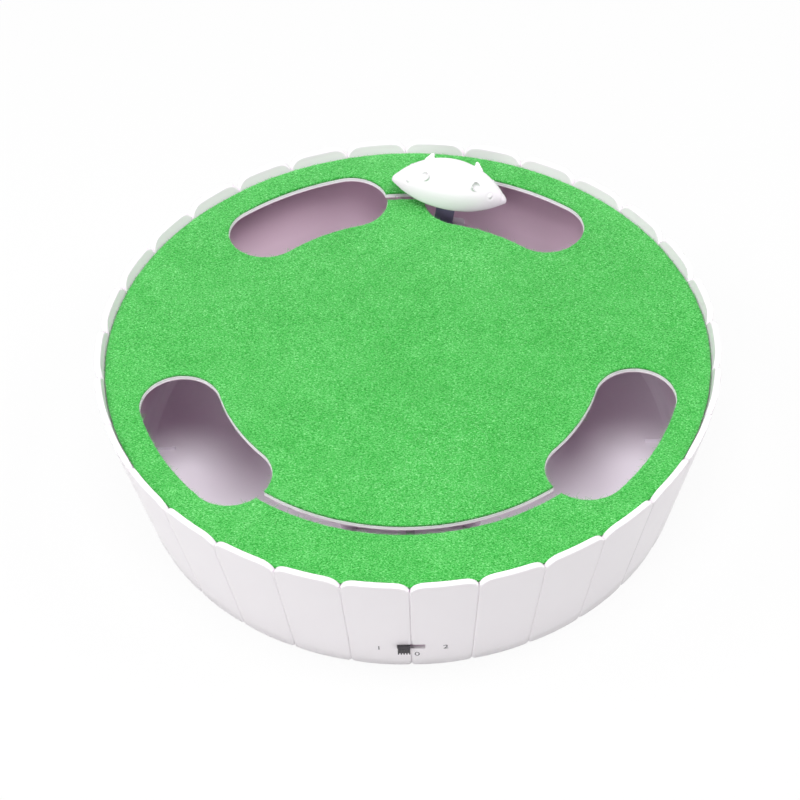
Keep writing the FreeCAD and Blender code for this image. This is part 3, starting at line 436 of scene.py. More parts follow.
def wall_rows():
    """The closed cross-section of the wall as functions of a column: each gives x, radius and z."""

    def nick(x):
        return max(0.0, NICK - x) * NICK_SLOPE

    def inner_foot(radius, z):
        return lambda c: (c.low_x, radius, z)

    def outer_foot(inset, lift):
        def place(c):
            return c.low_x, RIM_RADIUS - inset - groove(c.low_x), RIM_Z + lift + nick(c.low_x)
        return place

    def outer(share):
        def place(c):
            x_top = c.x - c.normal_x * EDGE_OUT
            z_top = c.z - c.normal_z * EDGE_OUT
            low_z = RIM_Z + FOOT_EDGE + nick(c.low_x)
            ease = share ** 9
            x = c.low_x + (x_top - c.low_x) * ease
            z = low_z + (z_top - low_z) * share
            return x, outer_radius(z) + pillow(x) * min(1.0, 12 * (1.02 - share)) - groove(x), z
        return place

    def edge(degrees, from_inside, size):
        a = math.radians(degrees)
        lift = 1 - math.sin(a)
        inset = 1 - math.cos(a)

        def place(c):
            x = c.x - c.normal_x * lift * size
            z = c.z - c.normal_z * lift * size
            if from_inside:
                return x, outer_radius(z) - WALL + inset * size, z
            return x, outer_radius(z) - inset * size - groove(c.x) * (1 - inset), z
        return place

    def inner(share):
        def place(c):
            x_top = c.x - c.normal_x * EDGE_IN
            z_top = c.z - c.normal_z * EDGE_IN
            z = z_top + (FILLET_TOP - z_top) * share
            ease = (1 - share) ** 9
            return c.low_x + (x_top - c.low_x) * ease, outer_radius(z) - WALL, z
        return place

    def fillet(degrees):
        a = math.radians(degrees)
        radius = outer_radius(FILLET_TOP) - WALL - FLOOR_FILLET * (1 - math.cos(a))
        return lambda c: (c.low_x, radius, FLOOR_TOP + FLOOR_FILLET * (1 - math.sin(a)))

    rows = [inner_foot(FOOT_INNER, FLOOR_LOW)]
    rows += [inner_foot(FOOT_INNER, RIM_Z + 0.2), inner_foot(FOOT_INNER + 0.2, RIM_Z)]
    rows += [outer_foot(FOOT_EDGE, 0.0), outer_foot(0.15, 0.13)]
    shares = (0.0, 0.12, 0.28, 0.44, 0.6, 0.72, 0.82, 0.88, 0.92, 0.95, 0.975, 0.99, 1.0)
    rows += [outer(share) for share in shares]
    rows += [edge(degrees, False, EDGE_OUT) for degrees in (22.5, 45, 67.5, 90)]
    rows += [edge(degrees, True, EDGE_IN) for degrees in (90, 60, 30, 0)]
    rows += [inner(share) for share in (0.01, 0.03, 0.07, 0.12, 0.2, 0.4, 0.7, 1.0)]
    rows += [fillet(degrees) for degrees in (20, 40, 60, 90)]
    return rows


def fence_tub():
    build = Build()
    columns = picket_columns()
    around = []
    for k in range(PICKETS):
        seam = k * 360 / PICKETS
        around += [(seam, 1, c) for c in columns]
        around += [(seam + 360 / PICKETS, -1, c) for c in reversed(columns[1:-1])]
    rows = []
    for place in wall_rows():
        points = []
        for seam, side, column in around:
            x, radius, z = place(column)
            points.append(wall_point(seam, side, x, radius, z))
        rows.append(build.row(points))
    build.skin(rows)
    tub_floor(build, rows[-1], rows[0])
    for k in range(LEDGES):
        ledge(build, 360 / LEDGES * k + 30)
    for azimuth in (90, 270):
        floor_rib(build, azimuth)
    for side in (-1, 1):
        switch_pad(build, side * 11.75)
    thing = build.finish("fence_tub_moulding")
    modify(thing, "WELD", merge_threshold=0.02 * MM)
    switch_window(thing)
    return crease(thing, 42)


def in_box(x, y, span, half, margin):
    """Whether a place is in an oblong of the floor, or within a margin of it."""
    return span[0] - margin < x < span[1] + margin and abs(y) < half + margin


def tub_floor(build, wall_foot, under_edge):
    """The floor's two faces with the battery door's opening, and its three screw posts."""
    grid = 14
    seed = (60, 60)
    posts = [at(azimuth, POST_RING) for azimuth in POST_AZIMUTHS]

    def on_floor(x, y, margin):
        if math.hypot(x, y) > FLOOR_RADIUS - margin:
            return False
        return not in_box(x, y, BAY_X, BAY_HALF, margin)

    def under_floor(x, y, margin):
        if math.hypot(x, y) > FOOT_INNER - margin or in_box(x, y, BAY_X, BAY_HALF, margin):
            return False
        if in_box(x, y, TAB_X, TAB_HALF, margin):
            return False
        return all(math.hypot(x - p.x, y - p.y) > WELL_RADIUS + margin for p in posts)

    left, right = BAY_X
    bay = [(left, -BAY_HALF), (right, -BAY_HALF), (right, BAY_HALF), (left, BAY_HALF)]
    hole = build.row([(x, y, FLOOR_TOP) for x, y in bay])
    build.planar([wall_foot, hole], on_floor, grid, lambda x, y: FLOOR_TOP, seed)
    mouth = build.row([(x, y, FLOOR_LOW) for x, y in door_outline()])
    roof = build.row([(x, y, FLOOR_LOW + TAB_RECESS) for x, y in door_outline()])
    build.bridge(mouth, roof)
    wells = []
    for post in posts:
        well = [build.row(ring(WELL_RADIUS, z, 24, post)) for z in (FLOOR_LOW, WELL_TOP)]
        build.skin(well)
        wells.append(well[0])
    under = [under_edge, mouth] + wells
    build.planar(under, under_floor, grid, lambda x, y: FLOOR_LOW, seed, flip=True)
    for post in posts:
        build.skin([build.row(ring(radius, z, 32, post)) for radius, z in POST_PROFILE])


def door_outline():
    """Opening of the battery door under the floor, with its two tab recesses."""
    left, right = BAY_X
    tab_left, tab_right = TAB_X
    near = [(left, -BAY_HALF), (tab_left, -BAY_HALF), (tab_left, -TAB_HALF)]
    near += [(tab_right, -TAB_HALF), (tab_right, -BAY_HALF), (right, -BAY_HALF)]
    return near + [(x, -y) for x, y in reversed(near)]


def switch_window(thing):
    """Cuts the switch's slot through the wall, with sills between its faces and a softened rim."""
    half = WINDOW_LENGTH / 2 * MM
    low = (SWITCH_Z - WINDOW_HEIGHT / 2) * MM
    high = (SWITCH_Z + WINDOW_HEIGHT / 2) * MM
    slack = 0.01 * MM
    behind_wall = -105 * MM
    work = bmesh.new()
    work.from_mesh(thing.data)

    def spans(face):
        """Whether a face of the front wall overlaps the window; thin ones are left out."""
        if face.calc_center_median().y > -100 * MM or min(v.co.y for v in face.verts) > -108 * MM:
            return False
        xs = [v.co.x for v in face.verts]
        zs = [v.co.z for v in face.verts]
        if min(xs) >= half or max(xs) <= -half:
            return False
        return min(zs) < high and max(zs) > low and max(zs) - min(zs) > 1 * MM

    for spot, across in ((-half, 0), (half, 0), (low, 2), (high, 2)):
        faces = [f for f in work.faces if spans(f)]
        edges = list({e for f in faces for e in f.edges})
        corners = list({v for f in faces for v in f.verts})
        plane = Vector((0, 0, 0))
        plane[across] = spot
        normal = Vector((1, 0, 0)) if across == 0 else Vector((0, 0, 1))
        bmesh.ops.bisect_plane(work, geom=corners + edges + faces, plane_co=plane, plane_no=normal)
    gone = []
    for f in work.faces:
        c = f.calc_center_median()
        if c.y < behind_wall and abs(c.x) < half and low < c.z < high:
            gone.append(f)
    bmesh.ops.delete(work, geom=gone, context="FACES")
    rim = []
    for e in work.edges:
        c = (e.verts[0].co + e.verts[1].co) / 2
        beside = abs(c.x) < half + slack and low - slack < c.z < high + slack
        if e.is_boundary and c.y < behind_wall and beside:
            rim.append(e)
    bmesh.ops.bridge_loops(work, edges=rim)
    skin_y = -(outer_radius(SWITCH_Z) - 1.5) * MM
    outer = [e for e in rim if e.is_valid and (e.verts[0].co.y + e.verts[1].co.y) / 2 < skin_y]
    bmesh.ops.bevel(
        work, geom=outer, offset=0.25 * MM, segments=2, profile=0.5, affect="EDGES",
        clamp_overlap=True)
    work.to_mesh(thing.data)
    work.free()


def slab(build, corners, thickness, across):
    """A thin plate from its outline: corners run round it, across is its unit normal."""
    edge = 0.25
    middle = sum(corners, Vector()) / len(corners)
    full = 0.5 - edge / thickness
    rows = []
    for shift, inset in ((-0.5, edge), (-full, 0.0), (full, 0.0), (0.5, edge)):
        row = []
        for c in corners:
            inward = (middle - c).normalized() * inset * 1.4
            row.append(tuple(c + inward + across * (shift * thickness)))
        rows.append(build.row(row))
    build.skin(rows)
    build.cap(list(reversed(rows[0])))
    build.cap(rows[-1])


def tangent(azimuth):
    a = math.radians(azimuth)
    return Vector((math.cos(a), -math.sin(a), 0))


def ledge(build, azimuth):
    """A gusset on the wall that carries the lawn board."""
    foot = BOARD_LOW - LEDGE_HEIGHT
    high = outer_radius(BOARD_LOW) - WALL
    low = outer_radius(foot) - WALL
    corners = [
        at(azimuth, high + 0.4, BOARD_LOW),
        at(azimuth, high - 4, BOARD_LOW),
        at(azimuth, low - 0.6, foot),
        at(azimuth, low + 0.4, foot),
    ]
    slab(build, corners, 1.6, tangent(azimuth))


def floor_rib(build, azimuth):
    """A short low rib on the floor, out to the wall's foot."""
    start, end = 97.8, 111.0
    low, high = FLOOR_TOP - 0.5, FLOOR_TOP + 1.6
    corners = [
        at(azimuth, start, low),
        at(azimuth, start + 0.3, high),
        at(azimuth, end, high),
        at(azimuth, end - 0.4, low),
    ]
    slab(build, corners, 1.0, tangent(azimuth))


def switch_pad(build, x):
    """A pad behind the wall that takes one screw of the switch."""
    low, high = 13.2, 20.2
    front_low, front_high, back = -112.2, -112.9, -110.6
    corners = [
        Vector((x, front_low, low)),
        Vector((x, front_high, high)),
        Vector((x, back, high)),
        Vector((x, back, low)),
    ]
    slab(build, corners, 4.5, Vector((1, 0, 0)))


# Felt lawn

def felt_edges(count, step):
    """The felt's two openings, then its outline, each with normals that point into the felt."""
    openings = [burrow_outline(BACK_ENDS, 0, step), burrow_outline(FRONT_ENDS, 180, step)]
    outline = [at(360 * k / count, FELT_RADIUS) for k in range(count)]
    edges = [(loop, inward_normals(loop, True)) for loop in openings]
    return edges + [(outline, inward_normals(outline, False))]


def felt_wave(x, y):
    """The felt's slow unevenness, a tenth of a millimetre or so."""
    across = math.sin(x * 0.11 + 1.3 * math.sin(y * 0.07))
    return 0.05 * across + 0.05 * math.sin(y * 0.13 + math.sin(x * 0.09))


def felt_lawn():
    build = Build()
    chance = random.Random(7)
    tops = []
    bottoms = []
    *openings, outline = felt_edges(620, 0.9)
    for loop, normals in (outline, *openings):
        raw = [chance.uniform(-0.12, 0.1) for _ in loop]
        fray = [(raw[k - 1] + 2 * raw[k] + raw[(k + 1) % len(raw)]) / 4 for k in range(len(raw))]
        rows = []
        for inset, z in FELT_EDGE:
            row = []
            for p, normal, loose in zip(loop, normals, fray):
                q = p + normal * (inset + (0.0 if z == FELT_LOW else loose))
                wave = felt_wave(q.x, q.y) if z > FELT_TOP - 0.3 else 0.0
                row.append((q.x, q.y, z + wave))
            rows.append(build.row(row))
        build.skin(rows)
        bottoms.append(rows[0])
        tops.append(rows[-1])

    def on_top(x, y, margin):
        return on_lawn(x, y, margin + 0.85)

    def underneath(x, y, margin):
        return on_lawn(x, y, margin - 0.02)

    build.planar(tops, on_top, 3.2, lambda x, y: FELT_TOP + felt_wave(x, y), (0, 0))
    build.planar(bottoms, underneath, 16, lambda x, y: FELT_LOW, (0, 0), flip=True)
    thing = build.finish("felt_lawn")
    face_outwards(thing)
    return crease(thing, 60)


def face_outwards(thing):
    work = bmesh.new()
    work.from_mesh(thing.data)
    bmesh.ops.recalc_face_normals(work, faces=work.faces)
    work.to_mesh(thing.data)
    work.free()


def felt_fibres():
    """Loose fibres lying on the felt and standing from its cut edges."""
    build = Build()
    chance = random.Random(11)
    made = 0
    while made < LYING_FIBRES:
        radius = FELT_RADIUS * math.sqrt(chance.random())
        p = at(chance.uniform(0, 360), radius, FELT_TOP)
        if not on_lawn(p.x, p.y, 0.2):
            continue
        made += 1
        heading = chance.uniform(0, 2 * math.pi)
        length = chance.uniform(1.2, 3.4)
        rise = chance.uniform(0.03, 0.16)
        fibre(build, chance, p, heading, length, 0.05, rise, chance.uniform(0.08, 0.13))
    for loop, normals in felt_edges(1700, 0.45):
        for p, inward in zip(loop, normals):
            heading = math.atan2(-inward.y, -inward.x) + chance.uniform(-1.3, 1.3)
            start = p + inward * chance.uniform(0.3, 1.0)
            start += Vector((0, 0, FELT_TOP - chance.uniform(0.0, 0.3)))
            length = chance.uniform(0.8, 1.7)
            rise = chance.uniform(-0.25, 0.12)
            fibre(build, chance, start, heading, length, 0.03, rise, chance.uniform(0.07, 0.11))
    return build.finish("felt_fibres", smooth=False)


def fibre(build, chance, start, heading, length, lift, rise, width):
    """A thin curved strip of three sections; a negative rise hangs down."""
    bend = chance.uniform(-0.9, 0.9)
    p = Vector((start.x, start.y, start.z + lift + felt_wave(start.x, start.y)))
    left = []
    right = []
    for k in range(4):
        share = k / 3
        a = heading + bend * share
        along = Vector((math.cos(a), math.sin(a), 0))
        side = Vector((-along.y, along.x, 0)) * (width * (1 - 0.6 * share) / 2)
        if rise > 0:
            height = rise * math.sin(math.pi * min(1.0, share * 1.1))
        else:
            height = rise * share * share
        height = Vector((0, 0, height))
        left.append(tuple(p + side + height))
        right.append(tuple(p - side + height))
        p = p + along * (length / 3)
    build.bridge(build.row(left), build.row(right), closed=False)


# Mouse, modelled upright about the foot of its post's pivot and then tipped to rest

def tip_to_rest():
    """Tips the mouse about its post's pivot and takes it round the track to where it rests."""
    pivot = Vector((0, TRACK * MM, TILT_Z * MM))
    tip = Matrix.Rotation(math.radians(REST_TILT), 4, "Y")
    lean = Matrix.Translation(pivot) @ tip @ Matrix.Translation(-pivot)
    return Matrix.Rotation(math.radians(-REST_AZIMUTH), 4, "Z") @ lean


def half_width(s):
    """Half the mouse's width at a distance from its middle: long back arc, then a round nose."""
    nose = MOUSE_LENGTH / 2 - NOSE_RADIUS
    w = MOUSE_WIDTH / 2
    r = (nose * nose + w * w - NOSE_RADIUS * NOSE_RADIUS) / (2 * w - 2 * NOSE_RADIUS)
    meet = r * nose / (r - NOSE_RADIUS)
    s = abs(s)
    if s < meet:
        return math.sqrt(r * r - s * s) - (r - w)
    return math.sqrt(max(0.0, NOSE_RADIUS * NOSE_RADIUS - (s - nose) * (s - nose)))


def on_back(s, across):
    """A place on the mouse's round back."""
    w = half_width(s)
    return Vector((s, across, BACK_RISE * math.sqrt(max(0.0, w * w - across * across))))


def mouse_section(s, angle):
    """A place on the mouse: a round back over a shallow belly that rises towards the noses."""
    w = half_width(s)
    if math.sin(angle) >= 0:
        return Vector((s, w * math.cos(angle), BACK_RISE * w * math.sin(angle)))
    rise = min(1.0, max(0.0, (abs(s) - BELLY_FLAT) / BELLY_SLOPE)) ** 1.15
    depth = min(BELLY_DEPTH - BELLY_RISE * rise, w * 1.1)
    flat = min(1.0, abs(math.sin(angle)) * 1.9) ** 0.7
    return Vector((s, w * math.cos(angle) * (1 - 0.05 * abs(math.sin(angle))), -depth * flat))


def mouse_form():
    """The whole mouse with its ears grown into its back."""
    build = Build()
    sections, sides = 60, 56
    rings = []
    for k in range(1, sections):
        s = -MOUSE_LENGTH / 2 * math.cos(math.pi * k / sections)
        points = [tuple(mouse_section(s, 2 * math.pi * j / sides)) for j in range(sides)]
        rings.append(build.row(points))
    build.skin(rings)
    for s, row, flip in ((-MOUSE_LENGTH / 2, rings[0], False), (MOUSE_LENGTH / 2, rings[-1], True)):
        tip = build.row([(s, 0, 0.2)])[0]
        for j in range(sides):
            n = (j + 1) % sides
            build.faces.append((tip, row[j], row[n]) if flip else (tip, row[n], row[j]))
    for end in (-1, 1):
        for side in (-1, 1):
            ear(build, end, side)
    body = build.finish("mouse_form")
    body = modify(body, "REMESH", mode="VOXEL", voxel_size=MOUSE_VOXEL * MM)
    return modify(body, "SMOOTH", factor=0.5, iterations=5)


def ear(build, end, side):
    """A small thick ear that stands up and leans outwards; its shallow hollow faces the nose."""
    face = Vector((end * 0.72, side * 0.62, 0.3)).normalized()
    upright = Vector((-end * 0.22, side * 0.5, 1.0))
    upright = (upright - face * upright.dot(face)).normalized()
    wide = upright.cross(face).normalized()
    centre = on_back(end * EAR_S, side * EAR_ACROSS) + upright * EAR_SEAT

    def front(share):
        return 0.5 - 0.95 * (1 - share ** 2)

    def back(share):
        return -0.5 - 0.75 * math.sqrt(max(0.0, 1 - share ** 2))

    shells = []
    for bulge in (front, back):
        rows = []
        for k in range(8):
            share = max(0.03, math.sin(0.5 * math.pi * k / 7))
            points = []
            for j in range(24):
                a = 2 * math.pi * j / 24
                spot = wide * (EAR_WIDE * share * math.cos(a))
                spot += upright * (EAR_TALL * share * math.sin(a))
                points.append(tuple(centre + spot + face * bulge(share)))
            rows.append(build.row(points))
        build.skin(rows)
        build.cap(rows[0])
        shells.append(rows[-1])
    build.bridge(*shells)


def dip(distance, depth):
    """Depth of a rounded crease at a distance from its line."""
    return depth * math.exp(-(distance / CREASE_WIDTH) ** 2)


def press_details(thing):
    """Presses the eyes, each a bead in a shallow ring, and the nose creases into the mouse."""
    mesh = thing.data
    eyes = [on_back(end * EYE_S, side * EYE_ACROSS) for end in (-1, 1) for side in (-1, 1)]
    normals = [v.normal.copy() for v in mesh.vertices]
    for v, n in zip(mesh.vertices, normals):
        p = v.co / MM
        push = 0.0
        for eye in eyes:
            d = (p - eye).length
            if d < EYE_RADIUS:
                push += EYE_PROUD * math.sqrt(1 - (d / EYE_RADIUS) ** 2)
            push -= dip(d - EYE_RING, EYE_RING_DEPTH)
        push -= dip(abs(p.x) - NOSE_CREASE, NOSE_CREASE_DEPTH)
        v.co += n * (push * MM)
    mesh.update()


def mouse_parts():
    form = mouse_form()
    press_details(form)
    parts = []
    for name, keep_above in (("mouse_body_moulding", True), ("mouse_belly_moulding", False)):
        part = half_of(form, name, keep_above)
        part.data.transform(Matrix.Translation((0, TRACK * MM, MOUSE_Z * MM)))
        part.data.transform(tip_to_rest())
        crease(part, 50)
        parts.append(part)
    bpy.data.objects.remove(form)
    return parts


def half_of(form, name, keep_above):
    """The part of the mouse over or under its parting line, closed by a lip drawn slightly in."""
    work = bmesh.new()
    work.from_mesh(form.data)
    cut = bmesh.ops.bisect_plane(
        work, geom=work.verts[:] + work.edges[:] + work.faces[:],
        plane_co=(0, 0, PARTING_Z * MM), plane_no=(0, 0, 1),
        clear_inner=keep_above, clear_outer=not keep_above)
    rim = [e for e in cut["geom_cut"] if isinstance(e, bmesh.types.BMEdge)]
    lip = bmesh.ops.extrude_edge_only(work, edges=rim)["geom"]
    drop = -0.06 if keep_above else 0.024
    for v in lip:
        if isinstance(v, bmesh.types.BMVert):
            v.co.z += drop * MM
            v.co.x *= 0.985
            v.co.y *= 0.965
    edge = [g for g in lip if isinstance(g, bmesh.types.BMEdge)]
    bmesh.ops.holes_fill(work, edges=edge, sides=0)
    bmesh.ops.recalc_face_normals(work, faces=work.faces)
    mesh = bpy.data.meshes.new(name)
    work.to_mesh(mesh)
    work.free()
    return placed(name, mesh)


# Plain numbers printed beside the switch, wrapped on the wall

def printed_number(text, x, height):
    name = "number_" + text
    curve = bpy.data.curves.new(name, "FONT")
    curve.body = text
    curve.size = NUMBER_SIZE * MM
    curve.align_x = "CENTER"
    curve.align_y = "CENTER"
    curve.resolution_u = 6
    letter = placed(name, curve)
    mesh = bpy.data.meshes.new_from_object(letter)
    bpy.data.objects.remove(letter)
    for v in mesh.vertices:
        z = RIM_Z + height + v.co.y / MM
        along = x + v.co.x / MM
        radius = outer_radius(z) + pillow(abs(along)) + PRINT_PROUD
        v.co = at(180 - math.degrees(along / radius), radius, z) * MM
    mesh.update()
    return placed(name, mesh)


# Materials

def linear(code):
    """An sRGB hex colour as linear red, green, blue and alpha."""
    parts = [int(code[k:k + 2], 16) / 255 for k in (1, 3, 5)]
    parts = [c / 12.92 if c <= 0.04045 else ((c + 0.055) / 1.055) ** 2.4 for c in parts]
    return (*parts, 1.0)


def add(owner, kind, sockets=None, **settings):
    """Adds a node with its settings; sockets take a plain value or another node's output."""
    node = owner.node_tree.nodes.new("ShaderNode" + kind)
    for name, value in settings.items():
        setattr(node, name, value)
    for name, value in (sockets or {}).items():
        if isinstance(value, bpy.types.NodeSocket):
            owner.node_tree.links.new(value, node.inputs[name])
        else:
            node.inputs[name].default_value = value
    return node


def finish_named(name, base, rough, **sockets):
    """A material with a Principled shader, called finish, set to plain values."""
    material = bpy.data.materials.new(name)
    material.use_nodes = True
    material.node_tree.nodes.clear()
    plain = {"Base Color": linear(base), "Roughness": rough, **sockets}
    shader = add(material, "BsdfPrincipled", plain)
    shader.name = "finish"
    out = add(material, "OutputMaterial", {"Surface": shader.outputs["BSDF"]})
    out.is_active_output = True
    material.diffuse_color = linear(base)
    return material


def into(material, socket, name):
    """Links an output to a socket of the finish."""
    material.node_tree.links.new(socket, material.node_tree.nodes["finish"].inputs[name])


def feeding(material, name):
    """The output that is linked to a socket of the finish."""
    return material.node_tree.nodes["finish"].inputs[name].links[0].from_socket


def per_mm(size):
    """Noise scale that gives features of a size in millimetres. Every piece sits at the origin,
    so its object coordinates are the part's own, in metres."""
    return 1000.0 / size


def between(low, high, start=0.0, end=1.0):
    """Sockets that turn a span in millimetres to another span."""
    return {"From Min": low * MM, "From Max": high * MM, "To Min": start, "To Max": end}


def spread(middle, share):
    """Sockets that turn a noise's usual span to a value, give or take a share of it."""
    ends = {"To Min": middle * (1 - share), "To Max": middle * (1 + share)}
    return {"From Min": 0.3, "From Max": 0.7, **ends}


def moulded(name, base, shade, rough, grain_mm=0.9, grain=0.06, edge_mm=0.35, **sockets):
    """Injection-moulded plastic: a faint cloudiness, fine spark-eroded grain and softened edges."""
    material = finish_named(name, base, rough, **sockets)
    spot = add(material, "TexCoord").outputs["Object"]
    cloud = add(material, "TexNoise", {"Vector": spot, "Scale": per_mm(35), "Detail": 2.0})
    tint = add(material, "Mix", {
        "Factor": cloud.outputs["Fac"],
        "A": linear(base),
        "B": linear(shade),
    }, data_type="RGBA")
    into(material, tint.outputs["Result"], "Base Color")
    fine = add(material, "TexNoise", {"Vector": spot, "Scale": per_mm(grain_mm), "Detail": 3.0})
    smudge = add(material, "TexNoise", {"Vector": spot, "Scale": per_mm(9), "Detail": 2.0})
    sheen = add(material, "MapRange", {"Value": smudge.outputs["Fac"], **spread(rough, 0.12)})
    into(material, sheen.outputs["Result"], "Roughness")
    bump = add(material, "Bump", {
        "Height": fine.outputs["Fac"],
        "Strength": grain,
        "Distance": 0.04 * MM,
    })
    if edge_mm:
        soft = add(material, "Bevel", {"Radius": edge_mm * MM}, samples=4)
        material.node_tree.links.new(soft.outputs["Normal"], bump.inputs["Normal"])
    into(material, bump.outputs["Normal"], "Normal")
    return material


def wall_plastic():
    """Glossy white ABS of the tub, with painted shade on its inner face. Below the lawn the painted
    shade is lilac, and darker from the floor up to the board; above the lawn the inner face has a
    faint lilac painted shade."""
    material = moulded(
        "white_abs_glossy", "#F7F3F6", "#F4EFF3", 0.34, grain_mm=1.1, grain=0.03, edge_mm=0,
        **{"IOR": 1.53, "Specular IOR Level": 0.5})
    white = feeding(material, "Base Color")
    spot = add(material, "TexCoord").outputs["Object"]
    split = add(material, "SeparateXYZ", {"Vector": spot})
    z = split.outputs["Z"]

    # The inner face is what lies nearer the axis than a cone halfway through the wall
    flat = add(material, "CombineXYZ", {"X": split.outputs["X"], "Y": split.outputs["Y"]})
    reach = add(material, "VectorMath", {0: flat.outputs["Vector"]}, operation="LENGTH")
    cone_foot = (RIM_RADIUS - WALL_MIDDLE) * MM
    cone_top = (TOP_RADIUS - WALL_MIDDLE) * MM
    cone = add(material, "MapRange", {"Value": z, **between(RIM_Z, TIPS_Z, cone_foot, cone_top)})
    inside = add(material, "Math", {
        0: reach.outputs["Value"],
        1: cone.outputs["Result"],
    }, operation="LESS_THAN")

    # Painted shade: the mask of the inner face under the board, where the lilac painted shade goes
    below = add(material, "MapRange", {"Value": z, **between(59.0, 56.5)})
    cavity_shade_mask = add(material, "Math", {
        0: inside.outputs["Value"],
        1: below.outputs["Result"],
    }, operation="MULTIPLY")
    # Painted shade: the pickets' inner faces above the felt get a faint lilac tint (#F4E8F3)
    above = add(material, "Math", {0: z, 1: FELT_LOW * MM}, operation="GREATER_THAN")
    parapet_shade_mask = add(material, "Math", {
        0: inside.outputs["Value"],
        1: above.outputs["Value"],
    }, operation="MULTIPLY")

    # Painted shade: lilac, pale near the floor, darker from 6 mm up and darkest from 28 mm up
    # towards the board
    foot = add(material, "MapRange", {"Value": z, **between(6, 22)})
    painted_lilac_shade = add(material, "Mix", {
        "Factor": foot.outputs["Result"],
        "A": linear("#FAF5FD"),
        "B": linear("#EAD0E0"),
    }, data_type="RGBA")
    upper = add(material, "MapRange", {"Value": z, **between(28, 48)})
    painted_lilac_shade = add(material, "Mix", {
        "Factor": upper.outputs["Result"],
        "A": painted_lilac_shade.outputs["Result"],
        "B": linear("#C8A8BC"),
    }, data_type="RGBA")
    tone = add(material, "Mix", {
        "Factor": parapet_shade_mask.outputs["Value"],
        "A": white,
        "B": linear("#F4E8F3"),
    }, data_type="RGBA")
    tone = add(material, "Mix", {
        "Factor": cavity_shade_mask.outputs["Value"],
        "A": tone.outputs["Result"],
        "B": painted_lilac_shade.outputs["Result"],
    }, data_type="RGBA")
    into(material, tone.outputs["Result"], "Base Color")
    return material


def lawn_board_plastic():
    """White ABS of the board under the felt, with lilac painted shade underneath. The edges of its
    openings are rolled over, which the shading shows: through the board's thickness the normal
    leans upwards, most at the top."""
    material = moulded(
        "lawn_board_abs", "#FBF9FC", "#F7F4F9", 0.4, grain_mm=1.0, grain=0.05, edge_mm=0.3,
        IOR=1.53)
    white = feeding(material, "Base Color")
    bump = feeding(material, "Normal").node
    edge = bump.inputs["Normal"].links[0].from_socket
    spot = add(material, "TexCoord").outputs["Object"]
    z = add(material, "SeparateXYZ", {"Vector": spot}).outputs["Z"]

    lean = add(material, "MapRange", {"Value": z, **between(BOARD_LOW - 1.0, FELT_LOW, 0.0, 3.0)})
    normal = add(material, "NewGeometry").outputs["True Normal"]
    facing = add(material, "SeparateXYZ", {"Vector": normal})
    flat = add(material, "Math", {0: facing.outputs["Z"]}, operation="ABSOLUTE")
    upright = add(material, "Math", {0: 1.0, 1: flat.outputs["Value"]}, operation="SUBTRACT")
    share = add(material, "Math", {
        0: lean.outputs["Result"],
        1: upright.outputs["Value"],
    }, operation="MULTIPLY")
    up = add(material, "CombineXYZ", {"Z": share.outputs["Value"]})
    rolled = add(material, "VectorMath", {0: edge, 1: up.outputs["Vector"]}, operation="ADD")
    unit = add(material, "VectorMath", {0: rolled.outputs["Vector"]}, operation="NORMALIZE")
    material.node_tree.links.new(unit.outputs["Vector"], bump.inputs["Normal"])

    # Painted shade: the board's underside is lilac (#D0B4C6), its upper part white
    over = add(material, "MapRange", {"Value": z, **between(BOARD_LOW + 0.1, BOARD_LOW + 0.4)})
    tone = add(material, "Mix", {
        "Factor": over.outputs["Result"],
        "A": linear("#D0B4C6"),
        "B": white,
    }, data_type="RGBA")
    into(material, tone.outputs["Result"], "Base Color")
    return material


